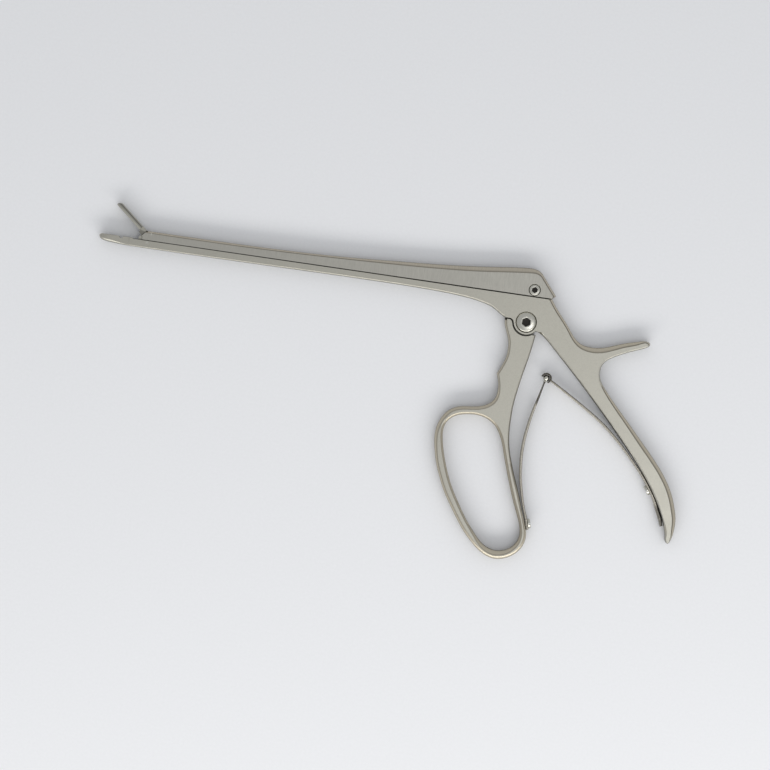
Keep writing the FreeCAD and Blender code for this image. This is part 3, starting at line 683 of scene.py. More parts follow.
class Nodes:
    """A new material and the nodes added to it."""

    def __init__(self, name):
        self.material = bpy.data.materials.new(name)
        self.material.use_nodes = True
        self.tree = self.material.node_tree
        self.tree.nodes.clear()

    def add(self, kind, *values, operation=None, **inputs):
        """Adds a node; an input takes a value, or the output that feeds it."""
        node = self.tree.nodes.new("ShaderNode" + kind)
        if operation:
            node.operation = operation
        named = [(name.replace("_", " "), value) for name, value in inputs.items()]
        for key, value in [*enumerate(values), *named]:
            if isinstance(value, bpy.types.NodeSocket):
                self.tree.links.new(value, node.inputs[key])
            else:
                node.inputs[key].default_value = value
        return node

    def surface(self, **inputs):
        shader = self.add("BsdfPrincipled", **inputs)
        self.add("OutputMaterial", Surface=shader.outputs["BSDF"])
        return self.material

    def kept_value(self, name):
        node = self.add("Attribute")
        node.attribute_name = name
        return node.outputs["Fac"]


def two_tones(nodes, colour, tone, share):
    """From a little darker to a little lighter than a colour, by a share."""
    node = nodes.add("ValToRGB", Fac=share)
    low, high = node.color_ramp.elements
    low.position, high.position = 0.25, 0.75
    low.color = (*[value * (1 - tone) for value in colour], 1.0)
    high.color = (*[min(value * (1 + tone), 1.0) for value in colour], 1.0)
    return node.outputs["Color"]


def painted_light_colour(nodes, colour):
    """Colour with the bevels' painted light, lighter and warmer, and with the painted shade kept in the mesh.
    """
    band, shade = [nodes.kept_value(name) for name in PAINTED_LIGHT_LAYERS]
    gain = nodes.add("VectorMath", band, BEVEL_PAINTED_LIGHT, (1.0, 1.0, 1.0), operation="MULTIPLY_ADD")
    light = nodes.add("Math", shade, 1.0, operation="ADD")
    toned = nodes.add("VectorMath", colour, gain.outputs["Vector"], operation="MULTIPLY")
    shaded = nodes.add("VectorMath", toned.outputs["Vector"], operation="SCALE",
                       Scale=light.outputs["Value"])
    return shaded.outputs["Vector"]


def steel_material(name, colour, roughness, grain, grain_depth, tone):
    """Satin steel: grain gives the brushing's fineness along each axis, per metre."""
    nodes = Nodes(name)
    place = nodes.add("TexCoord").outputs["Object"]
    stretch = nodes.add("Mapping", Vector=place, Scale=grain).outputs["Vector"]
    lines = nodes.add("TexNoise", Vector=stretch, Scale=1.0, Detail=4.0, Roughness=0.65).outputs["Fac"]
    cloud = nodes.add("TexNoise", Vector=place, Scale=70.0, Detail=4.0, Roughness=0.6).outputs["Fac"]
    # The grain's colour gets the mesh's painted light and painted shade
    tint = painted_light_colour(nodes, two_tones(nodes, colour, tone, lines))
    rough = nodes.add("MapRange", Value=cloud, To_Min=roughness - 0.06, To_Max=roughness + 0.07)
    bump = nodes.add("Bump", Strength=grain_depth, Distance=0.00002, Height=lines)
    return nodes.surface(Metallic=1.0, Base_Color=tint, Roughness=rough.outputs["Result"],
                         Normal=bump.outputs["Normal"])


def floor_material(colour):
    nodes = Nodes("floor_paper")
    place = nodes.add("TexCoord").outputs["Object"]
    paper = nodes.add("TexNoise", Vector=place, Scale=900.0, Detail=3.0).outputs["Fac"]
    return nodes.surface(Roughness=0.7, Base_Color=two_tones(nodes, colour, 0.015, paper))


EVEN_GRAIN = (2400.0, 2400.0, 2400.0)
SLIDE_GRAIN = (5200.0, 240.0, 900.0)
LEAF_GRAIN = (1500.0, 1500.0, 6000.0)
# Colour, roughness, grain, the grain's depth and its tone
FINISHES = {
    "satin_steel": ("steel", 0.34, EVEN_GRAIN, 0.45, 0.09),
    "satin_steel_slide": ("slide_steel", 0.34, SLIDE_GRAIN, 0.7, 0.13),
    "spring_steel": ("spring_steel", 0.26, LEAF_GRAIN, 0.3, 0.09),
    "dark_spring_steel": ("dark_spring_steel", 0.24, LEAF_GRAIN, 0.3, 0.09),
    "recess": ("recess", 0.5, EVEN_GRAIN, 0.3, 0.09),
    "screw_steel": ("screw_steel", 0.24, EVEN_GRAIN, 0.25, 0.09),
    "pin_steel": ("screw_steel", 0.24, EVEN_GRAIN, 0.25, 0.09),
}


def material_for(slot):
    """The finish of a material slot, made once."""
    name = "finish_" + slot
    if name not in bpy.data.materials:
        colour, *rest = FINISHES[slot]
        steel_material(name, getattr(bpy.context.scene.rongeur_finish, colour), *rest)
    return bpy.data.materials[name]


def paint_shade(obj, chosen):
    """Gives the chosen faces painted shade, a dark colour where shade falls in recesses and gaps; chosen
    reads a face's centre in millimetres.
    """
    obj.data.materials.append(material_for("recess"))
    for polygon in obj.data.polygons:
        if chosen(*[value / MM for value in polygon.center]):
            polygon.material_index = 1


def levels(context):
    """The sizes, then the parting plane's height, half the thickness and all of it in millimetres."""
    sizes = context.scene.rongeur_sizes
    return sizes, sizes.parting_height / MM, sizes.thickness / MM / 2, sizes.thickness / MM


# Operators

class RONGEUR_OT_fixed_frame(bpy.types.Operator):
    """Builds the fixed frame with the lower jaw, the knuckle, the palm handle and the thumb spur"""

    bl_idname = "rongeur.fixed_frame"
    bl_label = "Fixed Frame"

    def execute(self, context):
        sizes, top, mid, full = levels(context)
        seat = sizes.main_seat_radius / MM
        knuckle = sizes.knuckle_radius / MM
        # Fullness 1.1; 0.85 is how dark the painted shade line inside the bevels is
        obj = object_from(plate_mesh(sizes, frame_outline(sizes), 1.1, 0.85), "frame_body")
        ears = [(-172.4, top - 1.0), (-166.9, top - 1.0), (-166.9, top + 1.55), (-167.05, top + 1.7),
                (-171.5, top + 1.7), (-172.1, top + 1.35), (-172.4, top + 0.8)]
        carve(obj, prism(ears, mid - 1.45, mid + 1.45), "UNION")
        carve(obj, block((-175.2, 9.1, mid - 0.8), (-166.6, 16.0, mid + 0.8)))
        carve(obj, post(JAW_PIVOT_X, top - JAW_PIVOT_DROP, 0.66, -PAST, full + PAST))
        carve(obj, post(0.0, 0.0, knuckle + 0.3, mid - SLOT_HALF, mid + SLOT_HALF))
        carve(obj, block((-5.6, 0.0, mid - SLOT_HALF), (6.2, top + PAST, mid + SLOT_HALF)))
        for x in FOOT_PLACES:
            rear, end = x - 2.87, x + 8.1
            carve(obj, block((rear, 9.75, mid - 0.65), (end, top + PAST, mid + 0.65)))
            carve(obj, block((rear, 9.75, mid - 1.25), (end, 10.65, mid + 1.25)))
            carve(obj, block((end, 9.75, mid - 1.25), (x + 16.5, top + PAST, mid + 1.25)))
        carve(obj, post(0.0, 0.0, 2.52, -PAST, full + PAST))
        carve(obj, seat_cutter(0.0, 0.0, seat, full - MAIN_SEAT_DEPTH, full))
        jaw = object_from(lower_jaw_mesh(sizes), "lower_jaw_blank")
        carve(jaw, bowl_mesh(top + 0.35, -1, mid))
        carve(jaw, post(-179.95, top + 0.35, 0.95, -PAST, full + PAST))
        carve(obj, mesh_of(jaw), "UNION")
        bridge = block((JAW_ROOT - 0.2, 8.8, mid - 2.49), (JAW_ROOT + 0.2, top + 0.25, mid + 2.49))
        carve(obj, bridge, "UNION")
        place_piece(obj, "frame", "fixed_frame", "satin_steel")

        # Painted shade on faces in the screw's seat, the parting joint, the knuckle's gap, the notch and the
        # slot
        def gets_painted_shade(x, y, z):
            wall = abs(z - mid) < half_thickness(sizes, x) - 0.01
            in_seat = math.hypot(x, y) < seat + 0.02 and full - 1.4 < z < full - 0.9
            in_joint = wall and abs(y - top) < 0.2 and -174.5 < x < 9.7
            at_knuckle = wall and y < 0.9 and knuckle - 0.3 < math.hypot(x, y) < knuckle + 0.1
            at_notch = wall and 0.0 < y < 0.95 and -9.35 < x < -5.6
            in_slot = abs(z - mid) < 1.04 and (math.hypot(x, y) < 6.0 or (-5.7 < x < 6.3 and 0 < y < top))
            return in_seat or in_joint or in_slot or at_knuckle or at_notch

        paint_shade(obj, gets_painted_shade)
        return {"FINISHED"}


def mesh_of(obj):
    """Takes the mesh out of an object, which is then removed."""
    bm = bmesh.new()
    bm.from_mesh(obj.data)
    mesh = obj.data
    bpy.data.objects.remove(obj, do_unlink=True)
    bpy.data.meshes.remove(mesh)
    return bm


def jaw_half_width(x):
    """Half width of a jaw seen from above: a spoon's rounded front."""
    front = -184.4
    if x >= front:
        return JAW_HALF
    share = (front - x) / (front - JAW_TIP)
    return JAW_HALF * max(1 - share**3.9, 0.0) ** 0.5


def rounded_section(half, low, high, radius_low, radius_high):
    """Section of a bar along X as (y, z) pairs round its middle plane, its four corners rounded."""
    steps = 10
    points = []
    corners = [(1, 1, radius_low, 180), (-1, 1, radius_high, 270),
               (-1, -1, radius_high, 0), (1, -1, radius_low, 90)]
    for side_y, side_z, radius, first in corners:
        radius = max(min(radius, half * 0.98, (high - low) * 0.48), 0.004)
        y = (low if side_y > 0 else high) + side_y * radius
        z = side_z * (radius - half)
        for step in range(steps + 1):
            angle = math.radians(first + 90 * step / steps)
            points.append((y + radius * math.cos(angle), z + radius * math.sin(angle)))
    return points


def loft_sections(sections, mid, shade_at):
    """Closed mesh through sections of equal point count; each is (x, [(y, z), ...]) in millimetres."""
    bm = bmesh.new()
    shade = painted_light_layers(bm)[1]
    loops = []
    for x, points in sections:
        loops.append(add_loop(bm, [(x, y, mid + z) for y, z in points]))
        low = min(y for y, z in points)
        high = max(y for y, z in points)
        # Each vertex gets painted shade by its height share in its section
        for edge, (y, z) in zip(loops[-1], points):
            edge.verts[0][shade] = shade_at((y - low) / (high - low))
    return close_loft(bm, loops)


def lower_jaw_mesh(sizes):
    """Lower cup jaw, before its bowl is cut."""
    mid = sizes.thickness / MM / 2
    rim = sizes.parting_height / MM + 0.35
    side = curve_through([(-188.4, rim), (-189.5, 10.9), (-188.9, 9.75), (-187.4, 9.05), (-184.0, 8.6),
                          (-179.5, 8.3), (JAW_ROOT, 8.18)], [12] * 6)
    tip = min(range(len(side)), key=lambda i: side[i][0])
    upper = np.array(side[tip::-1])
    lower = np.array(side[tip:])
    front = side[tip][0] + 0.004
    sections = []
    for step in range(61):
        x = front + (JAW_ROOT - side[tip][0] - 0.004) * (step / 60) ** 2
        low = np.interp(x, lower[:, 0], lower[:, 1])
        high = np.interp(x, upper[:, 0], upper[:, 1])
        near = ramp(x, -184.0, 8.0)
        radius = 1.35 - 0.87 * near * near * (3 - 2 * near)
        sections.append((x, rounded_section(jaw_half_width(x), low, high, radius, 0.3 - 0.24 * near)))

    # Painted shade: dark lines along the jaw's bottom and top edges
    def shade_at(share):
        return -0.5 * dip(share, 0.0, 0.12) - 0.5 * dip(share, 1.0, 0.026)

    return loft_sections(sections, mid, shade_at)


def bowl_mesh(rim, side, mid):
    """Hollow of a cup jaw: a capsule along the jaw; side is +1 when the jaw's body lies above its rim."""
    radius = 1.85
    centre = rim - side * 0.35
    front = -188.5 + radius
    rear = -176.3 - radius
    quarter = [math.pi / 2 * step / 16 for step in range(17)]
    rings = [(front - radius * math.cos(angle), radius * math.sin(angle)) for angle in quarter]
    rings += [(rear + radius * math.sin(angle), radius * math.cos(angle)) for angle in quarter]
    spots = [(x * MM, (centre + r) * MM, mid * MM) for x, r in rings]
    return spin_profile(spots, (0, centre * MM, mid * MM), (1, 0, 0), 48)


class RONGEUR_OT_sliding_shaft(bpy.types.Operator):
    """Builds the sliding shaft with its fork and guide feet"""

    bl_idname = "rongeur.sliding_shaft"
    bl_label = "Sliding Shaft"

    def execute(self, context):
        sizes, base, mid, full = levels(context)
        seat = sizes.drive_seat_radius / MM
        # Fullness 1.1; 0.8 is how dark the painted shade line inside the bevels is
        obj = object_from(plate_mesh(sizes, slide_outline(sizes), 1.1, 0.8), "slide_body")
        carve(obj, block((-190.0, base - PAST, mid - 1.5), (-163.5, 30.0, mid + 1.5)))
        carve(obj, block((-3.2, base - PAST, mid - SLOT_HALF), (6.6, base + 6.05, mid + SLOT_HALF)))
        carve(obj, post(JAW_PIN_X, base + DRIVE_RISE, 0.51, -PAST, full + PAST))
        carve(obj, post(DRIVE_X, base + DRIVE_RISE, 1.52, -PAST, full + PAST))
        carve(obj, seat_cutter(DRIVE_X, base + DRIVE_RISE, seat, full - DRIVE_SEAT_DEPTH, full))
        feet = bmesh.new()
        for x in FOOT_PLACES:
            add_foot(feet, x, base, mid)
        carve(obj, feet, "UNION")
        place_piece(obj, "slide", "sliding_shaft", "satin_steel_slide")

        # Painted shade on faces in the drive screw's seat, the parting joint and the gap at the front end
        def gets_painted_shade(x, y, z):
            wall = abs(z - mid) < half_thickness(sizes, x) - 0.01
            from_screw = math.hypot(x - DRIVE_X, y - base - DRIVE_RISE)
            in_seat = from_screw < seat + 0.02 and full - 1.3 < z < full - 0.8
            in_joint = wall and abs(y - base) < 0.14 and -170.8 < x < 9.5
            from_corner = (x + 171.45) * 0.73 - (y - 13.3) * 0.68
            at_front = wall and 13.2 < y < 15.7 and -171.6 < x < -168.8 and abs(from_corner) < 0.46
            return in_seat or in_joint or at_front

        paint_shade(obj, gets_painted_shade)
        return {"FINISHED"}


class RONGEUR_OT_finger_ring_handle(bpy.types.Operator):
    """Builds the finger ring handle with its tang"""

    bl_idname = "rongeur.finger_ring_handle"
    bl_label = "Finger Ring Handle"

    def execute(self, context):
        sizes, base, mid, full = levels(context)
        # Fullness 1.5; 0.45 is how dark the painted shade line inside the bevels is
        plate = ring_plate_mesh(sizes, handle_outline(sizes), ring_outline(), 1.5, 0.45)
        obj = object_from(plate, "handle_body")
        drive = (DRIVE_X, base + DRIVE_RISE)
        tang = capsule_points((0.0, 0.0), drive, 5.5, 2.65)
        root = [(-4.6, 0.0), (-6.0, -3.2), (-3.0, -8.0), (3.0, -8.0), (4.0, -6.4), (3.4, -3.0)]
        for outline in (tang, root):
            carve(obj, prism(outline, mid - TANG_HALF, mid + TANG_HALF), "UNION")
        carve(obj, post(0.0, 0.0, 2.55, -PAST, full + PAST))
        lean = Vector(drive).normalized()
        slot = capsule_points(lean * 14.35, lean * 14.55, 1.55, 1.55)
        carve(obj, prism(slot, -PAST, full + PAST))
        place_piece(obj, "front_handle", "finger_ring_handle", "satin_steel")
        gap = sizes.knuckle_radius / MM + 0.2

        # Painted shade on faces in the gap round the knuckle and at the notch
        def gets_painted_shade(x, y, z):
            wall = abs(z - mid) < mid - 0.01
            at_knuckle = wall and y < 0.9 and gap - 0.1 < math.hypot(x, y) < gap + 0.3
            return at_knuckle or (wall and 0.0 < y < 0.6 and -9.35 < x < -5.6)

        paint_shade(obj, gets_painted_shade)
        return {"FINISHED"}


def upper_jaw_mesh(sizes):
    """Upper cup jaw in its closed place, before its bowl is cut."""
    mid = sizes.thickness / MM / 2
    rim = sizes.parting_height / MM + 0.4
    back = rim + 2.15
    nose = JAW_TIP + 2.2
    spots = []
    for step in range(17):
        angle = math.pi / 2 * step / 16
        spots.append((nose - 2.19 * math.cos(angle), min(rim + 2.2 * math.sin(angle) + 0.02, back)))
    spots += [(nose + (-174.6 - nose) * step / 24, back) for step in range(1, 25)]
    sections = [(x, rounded_section(jaw_half_width(x), rim, high, 0.12, 1.3)) for x, high in spots]

    # Painted highlight near the rim and a dark stripe of painted shade along the jaw's rounded back
    def shade_at(share):
        return 0.15 * dip(share, 0.1, 0.3) - 0.7 * dip(share, 0.68, 0.26)

    return loft_sections(sections, mid, shade_at)


class RONGEUR_OT_upper_jaw(bpy.types.Operator):
    """Builds the hinged upper cup jaw, opened"""

    bl_idname = "rongeur.upper_jaw"
    bl_label = "Upper Jaw"

    def execute(self, context):
        sizes, base, mid, full = levels(context)
        low, high = mid - NECK_HALF, mid + NECK_HALF
        pivot = (JAW_PIVOT_X, base - JAW_PIVOT_DROP)
        swing = math.radians(SWING)
        angle = math.radians(90.0) + swing

        def along_arm(reach):
            return (pivot[0] + reach * math.cos(angle), pivot[1] + reach * math.sin(angle))

        obj = object_from(upper_jaw_mesh(sizes), "upper_jaw_body")
        carve(obj, bowl_mesh(base + 0.4, 1, mid))
        neck = prism([(-175.1, base + 0.7), (-174.5, base + 0.7), (-174.3, base - 0.5),
                      (pivot[0], base - 0.5), (pivot[0], base + 2.55), (-175.1, base + 2.55)], low, high)
        # Painted shade on the neck, for the gap at the jaw's root
        shade = painted_light_layers(neck)[1]
        for vert in neck.verts:
            vert[shade] = -0.45
        carve(obj, neck, "UNION")
        tip = along_arm(3.8 / math.cos(swing) + 0.5 + 0.05 + 0.45 - 1.05)
        carve(obj, prism(capsule_points(pivot, tip, 1.35, 1.05), low, high), "UNION")
        slot = capsule_points(along_arm(3.75), along_arm(4.094), 0.55, 0.55)
        carve(obj, prism(slot, -PAST, full + PAST))
        carve(obj, post(*pivot, 0.7, -PAST, full + PAST))
        centre = Vector((pivot[0] * MM, pivot[1] * MM, 0))
        turn = Matrix.Rotation(-2 * swing, 4, "Z")
        obj.data.transform(Matrix.Translation(centre) @ turn @ Matrix.Translation(-centre))
        place_piece(obj, "jaw", "upper_jaw", "satin_steel")
        return {"FINISHED"}


def hexagon_ring(x, y, across, z, count):
    """Points of a hexagon, spread evenly so that they match a circle's points."""
    points = []
    for step in range(count):
        angle = 2 * math.pi * step / count
        turned = (angle + math.pi / 6) % (math.pi / 3) - math.pi / 6
        radius = across / 2 / math.cos(turned)
        points.append((x + radius * math.cos(angle), y + radius * math.sin(angle), z))
    return points


def socket_screw_mesh(x, y, head, seat, crown, shank, foot, across, depth, full):
    """Crowned screw with a hexagon socket: a turned body whose mouth runs down into the hexagon."""
    count = 96
    top = full - 0.1
    high = top + crown
    rim = head - head * 0.17
    flange = head * 1.08
    bevel = rim - 0.12
    profile = [(0.0, foot), (shank - 0.12, foot), (shank, foot + 0.12), (shank, seat),
               (flange - 0.08, seat), (flange, seat + 0.08), (flange, top - 0.26), (head, top),
               (head - 0.06, top + 0.05), (rim, top + crown * 0.62), (bevel, top + crown * 0.66)]
    mouth = across / math.sqrt(3) * 1.1
    for step in range(1, 7):
        share = step / 6
        lift = 0.66 + 0.34 * math.sin(share * math.pi / 2)
        profile.append((bevel + (mouth - rim + 0.12) * share, top + crown * lift))
    bm = turned(profile, x, y, count)
    loops = [[edge for edge in bm.edges if edge.is_boundary]]
    for width, z in ((across + 0.06, high - 0.12), (across, high - 0.2), (across, high - depth),
                     (across * 0.6, high - depth - 0.12)):
        loops.append(add_loop(bm, hexagon_ring(x, y, width, z, count)))
    skin(bm, loops)
    cap(bm, loops[-1])
    bmesh.ops.recalc_face_normals(bm, faces=bm.faces)
    return bm


class RONGEUR_OT_socket_screws(bpy.types.Operator):
    """Builds the main pivot screw and the drive screw"""

    bl_idname = "rongeur.socket_screws"
    bl_label = "Socket Screws"

    def execute(self, context):
        sizes, base, _, full = levels(context)
        centre = (DRIVE_X, base + DRIVE_RISE)
        mesh = socket_screw_mesh(0.0, 0.0, sizes.main_head_radius / MM, full - MAIN_SEAT_DEPTH, 0.35,
                                 2.5, 0.1, 3.5, 1.2, full)
        main_screw = object_from(mesh, "pivot_screw")
        place_piece(main_screw, "frame", "main_pivot_screw", "screw_steel")
        # Painted shade inside the hexagon socket and its mouth
        paint_shade(main_screw, lambda x, y, z: math.hypot(x, y) < 2.1 and full - 1.4 < z < full + 0.12)
        mesh = socket_screw_mesh(*centre, sizes.drive_head_radius / MM, full - DRIVE_SEAT_DEPTH, 0.25,
                                 1.5, 0.1, 2.3, 1.0, full)
        drive = object_from(mesh, "drive_screw_body")
        place_piece(drive, "slide", "drive_screw", "screw_steel")
        # Painted shade inside the hexagon socket and its mouth
        paint_shade(drive, lambda x, y, z: math.dist((x, y), centre) < 1.4 and full - 1.3 < z < full + 0.02)
        return {"FINISHED"}


def leaf_mesh(sizes, spine, counts, half_width_at, shade_at, lean):
    """Leaf spring swept along its spine; each spine point is x, y and thickness. shade_at gives painted shade
    along the leaf, and lean paints one side lighter and the other darker, painted light across the leaf.
    """
    mid = sizes.thickness / MM / 2
    line = curve_through(spine, counts)
    bm = bmesh.new()
    shade = painted_light_layers(bm)[1]
    loops = []
    for index, (x, y, thick) in enumerate(line):
        back = line[max(index - 1, 0)]
        ahead = line[min(index + 1, len(line) - 1)]
        dx, dy = direction(back, ahead)
        section = leaf_section(thick / 2, half_width_at(x, y))
        loops.append(add_loop(bm, [(x - dy * across, y + dx * across, mid + z) for across, z in section]))
        for edge, (across, z) in zip(loops[-1], section):
            # Painted light: one side of the leaf lighter, the other darker, by lean
            edge.verts[0][shade] = shade_at(x, y) + (lean if across > 0 else -lean)
    return close_loft(bm, loops)


def leaf_section(half_thick, half_width):
    """Section of a leaf with softened corners, as (across, z) pairs."""
    steps = 4
    radius = min(0.28, half_thick * 0.8)
    points = []
    for sx, sz, start in ((1, 1, 0), (-1, 1, 90), (-1, -1, 180), (1, -1, 270)):
        for step in range(steps + 1):
            angle = math.radians(start + 90 * step / steps)
            points.append((sx * (half_thick - radius) + radius * math.cos(angle),
                           sz * (half_width - radius) + radius * math.sin(angle)))
    return points


def clamp_frame(seat, ahead):
    """Seat of a spring screw, the edge's direction there, and the direction out of the metal."""
    dx, dy = direction(seat, ahead)
    return seat, (dx, dy), (dy, -dx)


FRONT_CLAMP = clamp_frame((12.26, -87.1), (11.42, -84.21))
REAR_CLAMP = clamp_frame((63.95, -64.1), (65.645, -66.575))


def clamped_stretch(clamp):
    """Straight stretch of a leaf under its screw's head."""
    seat, along, out = clamp
    lift = 0.04 + 0.5
    points = []
    for place in (-2.5, -0.83, 0.83, 2.5):
        x, y = [a + b * place + c * lift for a, b, c in zip(seat, along, out)]
        points.append((x, y, 1.0))
    return points


class RONGEUR_OT_leaf_springs(bpy.types.Operator):
    """Builds the two leaf springs, each bending between its handle and the ball joint"""

    bl_idname = "rongeur.leaf_springs"
    bl_label = "Leaf Springs"

    def execute(self, context):
        sizes = context.scene.rongeur_sizes
        half = sizes.leaf_half / MM
        mid = sizes.thickness / 2
        spine = clamped_stretch(FRONT_CLAMP) + [
            (10.6, -80.3, 1.0), (8.6, -73.2, 1.1), (7.2, -66.8, 1.15), (6.55, -61.0, 1.2),
            (6.3, -56.0, 1.25), (6.6, -50.0, 1.25), (7.45, -43.5, 1.2), (8.8, -36.8, 1.1),
            (10.3, -30.8, 0.9), (11.35, -26.2, 0.7), (11.75, -24.4, 0.7)]
        counts = [3, 3, 3] + [8] * 8 + [10, 8, 4]

        def front_width(x, y):
            share = ramp(y, -34.2, 1.6)
            share = share * share * (3 - 2 * share)
            return half + (0.9 - half) * share

        # Painted shade on the narrow neck near the ball
        def front_shade(x, y):
            return -0.6 * ramp(y, -34.5, 2.0)

        # 0.2 is the painted light across the front leaf
        front = object_from(leaf_mesh(sizes, spine, counts, front_width, front_shade, 0.2), "front_leaf")
        finish_leaf(front)
        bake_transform(front, "front_handle", "front_spring", start=(0.0113, -0.0838, mid),
                 end=(0.0112, -0.0268, mid))
        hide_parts("front_leaf_spring")

        arm = [(14.05, -23.45, 0.9), (20.0, -26.9, 1.0), (30.0, -32.9, 1.1), (40.0, -39.6, 1.15),
               (47.2, -45.8, 1.1), (54.5, -53.2, 1.0)]
        tab = [(67.55, -71.5, 1.3), (70.0, -76.7, 1.4), (71.0, -79.5, 1.2)]
        spine = arm + clamped_stretch(REAR_CLAMP) + tab
        counts = [6, 10, 10, 8, 8, 8, 3, 3, 3, 8, 6, 5]

        def rear_width(x, y):
            return half * (0.82 + 0.18 * ramp(x, 14.0, 3.0)) * (0.7 + 0.3 * ramp(x, 71.4, -1.4))

        # Painted shade on the tab's end past the screw
        def rear_shade(x, y):
            return -0.6 * ramp(x, 66.8, 1.2)

        # -0.35 is the painted light across the rear leaf
        rear = object_from(leaf_mesh(sizes, spine, counts, rear_width, rear_shade, -0.35), "rear_leaf")
        finish_leaf(rear)
        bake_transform(rear, "frame", "rear_spring", start=(0.0617, -0.0610, mid), end=(0.0175, -0.0254, mid))
        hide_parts("rear_leaf_spring")
        return {"FINISHED"}


def finish_leaf(obj):
    for polygon in obj.data.polygons:
        polygon.use_smooth = True
    bm = bmesh.new()
    bm.from_mesh(obj.data)
    for edge in bm.edges:
        edge.smooth = edge.calc_face_angle(0.0) < math.radians(40)
    bm.to_mesh(obj.data)
    bm.free()
    obj.data.materials.append(material_for("spring_steel"))


def slotted_screw_mesh(clamp, mid):
    """Spring screw: rounded head with a slot along the instrument's thickness."""
    seat, along, out = clamp
    base = 1.08
    head = 2.2
    height = 1.2
    profile = [(0.0, -2.2), (0.88, -2.2), (1.0, -2.08), (1.0, base), (head - 0.1, base),
               (head, base + 0.1)]
    for step in range(7):
        angle = math.pi / 2 * step / 6
        profile.append((head - 0.5 + 0.5 * math.cos(angle), base + height - 0.5 + 0.5 * math.sin(angle)))
    profile.append((0.0, base + height))
    bm = turned(profile, 0.0, 0.0)
    side = Vector((along[0], along[1], 0))
    up = Vector((out[0], out[1], 0))
    third = up.cross(side)
    turn = Matrix((side, third, up)).transposed().to_4x4()
    turn.translation = Vector((seat[0] * MM, seat[1] * MM, mid * MM))
    return bm, turn, base + height


class RONGEUR_OT_spring_screws(bpy.types.Operator):
    """Builds the two slotted screws that hold the leaf springs"""

    bl_idname = "rongeur.spring_screws"
    bl_label = "Spring Screws"

    def execute(self, context):
        mid = context.scene.rongeur_sizes.thickness / MM / 2
        for name, clamp, body, node in (
            ("front_slotted_screw", FRONT_CLAMP, "front_handle", "front_spring_screw"),
            ("rear_slotted_screw", REAR_CLAMP, "frame", "rear_spring_screw"),
        ):
            bm, turn, top = slotted_screw_mesh(clamp, mid)
            obj = object_from(bm, name)
            carve(obj, block((-0.4, -3.0, top - 0.7), (0.4, 3.0, top + PAST)))
            obj.data.transform(turn)
            place_piece(obj, body, node, "screw_steel")
        return {"FINISHED"}


class RONGEUR_OT_ball_joint(bpy.types.Operator):
    """Builds the ball on the front leaf and its socket on the rear leaf"""

    bl_idname = "rongeur.ball_joint"
    bl_label = "Ball Joint"

    def execute(self, context):
        sizes = context.scene.rongeur_sizes
        mid = sizes.thickness / 2
        radius = sizes.ball_radius
        centre = Vector((0.0123, -0.0228, mid))
        bm = bmesh.new()
        bmesh.ops.create_uvsphere(bm, u_segments=48, v_segments=32, radius=radius,
                                  matrix=Matrix.Translation(centre))
        ball = object_from(bm, "leaf_ball")
        neck = Vector((-0.00062, -0.00195, 0.0))
        neck_radius = 0.00055
        rod = bmesh.new()
        turn = neck.to_track_quat("Z", "Y").to_matrix().to_4x4()
        turn.translation = centre + neck / 2
        bmesh.ops.create_cone(rod, cap_ends=True, segments=32, radius1=neck_radius, radius2=neck_radius,
                              depth=neck.length, matrix=turn)
        carve(ball, rod, "UNION")
        place_piece(ball, "front_spring", "spring_ball", "screw_steel")

        low = mid - 0.0017
        high = mid + 0.0017
        inner = radius + 0.00013
        outer = 0.0023
        soft = 0.00022
        profile = [(inner, low + soft), (inner + soft, low), (outer - soft, low), (outer, low + soft),
                   (outer, high - soft), (outer - soft, high), (inner + soft, high), (inner, high - soft)]
        bm = bmesh.new()
        start = math.radians(-68.0)
        verts = []
        for r, z in profile:
            verts.append(bm.verts.new((centre.x + r * math.cos(start), centre.y + r * math.sin(start), z)))
        face = bm.faces.new(verts)
        bmesh.ops.spin(bm, geom=[face], cent=centre, axis=(0, 0, 1), angle=math.radians(236.0), steps=48)
        bmesh.ops.recalc_face_normals(bm, faces=bm.faces)
        socket = object_from(bm, "leaf_socket")
        # The socket gets the spring steel's darker painted shade copy
        place_piece(socket, "rear_spring", "spring_socket", "spring_steel", "dark_spring_steel")
        return {"FINISHED"}


class RONGEUR_OT_pins(bpy.types.Operator):
    """Gives the two jaw pins their finish"""

    bl_idname = "rongeur.pins"
    bl_label = "Jaw Pins"

    def execute(self, context):
        for name in ("jaw_pivot_pin", "jaw_drive_pin"):
            pin = bpy.data.objects[name]
            if not pin.material_slots:
                pin.data.materials.append(None)
            for slot in pin.material_slots:
                slot.material = material_for("pin_steel")
        return {"FINISHED"}


def add_light(name, place, aim, size, power, colour=(1.0, 1.0, 1.0)):
    """Rectangular lamp, aimed at a place; sizes in metres, power in watts."""
    data = bpy.data.lights.new(name, "AREA")
    data.shape = "RECTANGLE"
    data.size = size[0]
    data.size_y = size[1]
    data.energy = power
    data.color = colour
    obj = bpy.data.objects.new(name, data)
    obj.location = place
    obj.rotation_euler = (Vector(aim) - Vector(place)).to_track_quat("-Z", "Y").to_euler()
    bpy.context.scene.collection.objects.link(obj)


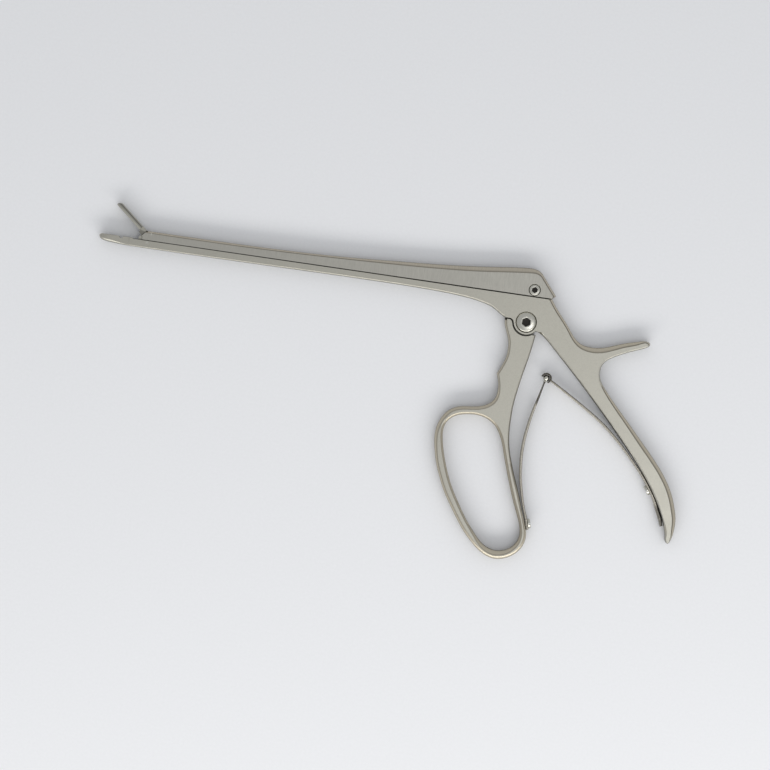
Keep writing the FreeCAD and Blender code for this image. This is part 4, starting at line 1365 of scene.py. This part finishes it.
class RONGEUR_OT_stage(bpy.types.Operator):
    """Builds the floor, the studio light and the camera"""

    bl_idname = "rongeur.stage"
    bl_label = "Stage"

    def execute(self, context):
        scene = context.scene
        bm = bmesh.new()
        bmesh.ops.create_grid(bm, x_segments=1, y_segments=1, size=4.0,
                              matrix=Matrix.Translation((0, 0, -0.00005)))
        floor = object_from(bm, "floor")
        floor.data.materials.append(floor_material(scene.rongeur_finish.floor))

        world = bpy.data.worlds.new("studio")
        scene.world = world
        world.use_nodes = True
        background = world.node_tree.nodes["Background"]
        background.inputs["Color"].default_value = (0.97, 0.98, 1.0, 1.0)
        background.inputs["Strength"].default_value = 0.56

        centre = Vector((-0.0569, -0.0359, 0.0))
        roll = math.radians(8.27)
        right = Vector((math.cos(roll), math.sin(roll), 0.0))
        up = Vector((-math.sin(roll), math.cos(roll), 0.0))
        low_side = centre - up * 0.8 + right * 0.05 + Vector((0, 0, 0.5))
        add_light("low_softbox", low_side, centre, (1.7, 0.3), 6.0, (1.0, 0.985, 0.96))
        overhead = centre - up * 0.62 + right * 0.82 + Vector((0, 0, 2.1))
        add_light("overhead_softbox", overhead, centre, (1.3, 1.3), 3.1)
        accent = centre - up * 0.28 + right * 0.45 + Vector((0, 0, 2.1))
        add_light("accent_softbox", accent, centre, (0.4, 0.4), 1.9)

        lens = 180.0
        sensor = 36.0
        width = 0.3357
        data = bpy.data.cameras.new("camera")
        data.lens = lens
        data.sensor_width = sensor
        data.clip_end = 20.0
        data.clip_start = 0.1
        camera = bpy.data.objects.new("camera", data)
        camera.location = centre + Vector((0, 0, width * lens / sensor + 0.003))
        camera.rotation_euler = (0.0, 0.0, roll)
        scene.collection.objects.link(camera)
        scene.camera = camera
        scene.view_settings.view_transform = "Standard"
        return {"FINISHED"}


class RONGEUR_PT_panel(bpy.types.Panel):
    bl_idname = "RONGEUR_PT_panel"
    bl_label = "Bone Rongeur"
    bl_space_type = "VIEW_3D"
    bl_region_type = "UI"
    bl_category = "Rongeur"

    def draw(self, context):
        column = self.layout.column(align=True)
        for group in (context.scene.rongeur_sizes, context.scene.rongeur_finish):
            for name in group.__annotations__:
                column.prop(group, name)
        for operator in BUILD_ORDER:
            column.operator(operator.bl_idname)


BUILD_ORDER = (
    RONGEUR_OT_fixed_frame,
    RONGEUR_OT_sliding_shaft,
    RONGEUR_OT_finger_ring_handle,
    RONGEUR_OT_upper_jaw,
    RONGEUR_OT_socket_screws,
    RONGEUR_OT_leaf_springs,
    RONGEUR_OT_spring_screws,
    RONGEUR_OT_ball_joint,
    RONGEUR_OT_pins,
    RONGEUR_OT_stage,
)
CLASSES = (RongeurSizes, RongeurFinish, *BUILD_ORDER, RONGEUR_PT_panel)


def register():
    for item in CLASSES:
        bpy.utils.register_class(item)
    bpy.types.Scene.rongeur_sizes = PointerProperty(type=RongeurSizes)
    bpy.types.Scene.rongeur_finish = PointerProperty(type=RongeurFinish)


def unregister():
    del bpy.types.Scene.rongeur_finish
    del bpy.types.Scene.rongeur_sizes
    for item in reversed(CLASSES):
        bpy.utils.unregister_class(item)


def main():
    register()
    bpy.ops.rongeur.fixed_frame()
    bpy.ops.rongeur.sliding_shaft()
    bpy.ops.rongeur.finger_ring_handle()
    bpy.ops.rongeur.upper_jaw()
    bpy.ops.rongeur.socket_screws()
    bpy.ops.rongeur.leaf_springs()
    bpy.ops.rongeur.spring_screws()
    bpy.ops.rongeur.ball_joint()
    bpy.ops.rongeur.pins()
    bpy.ops.rongeur.stage()


if __name__ == "__main__":
    main()
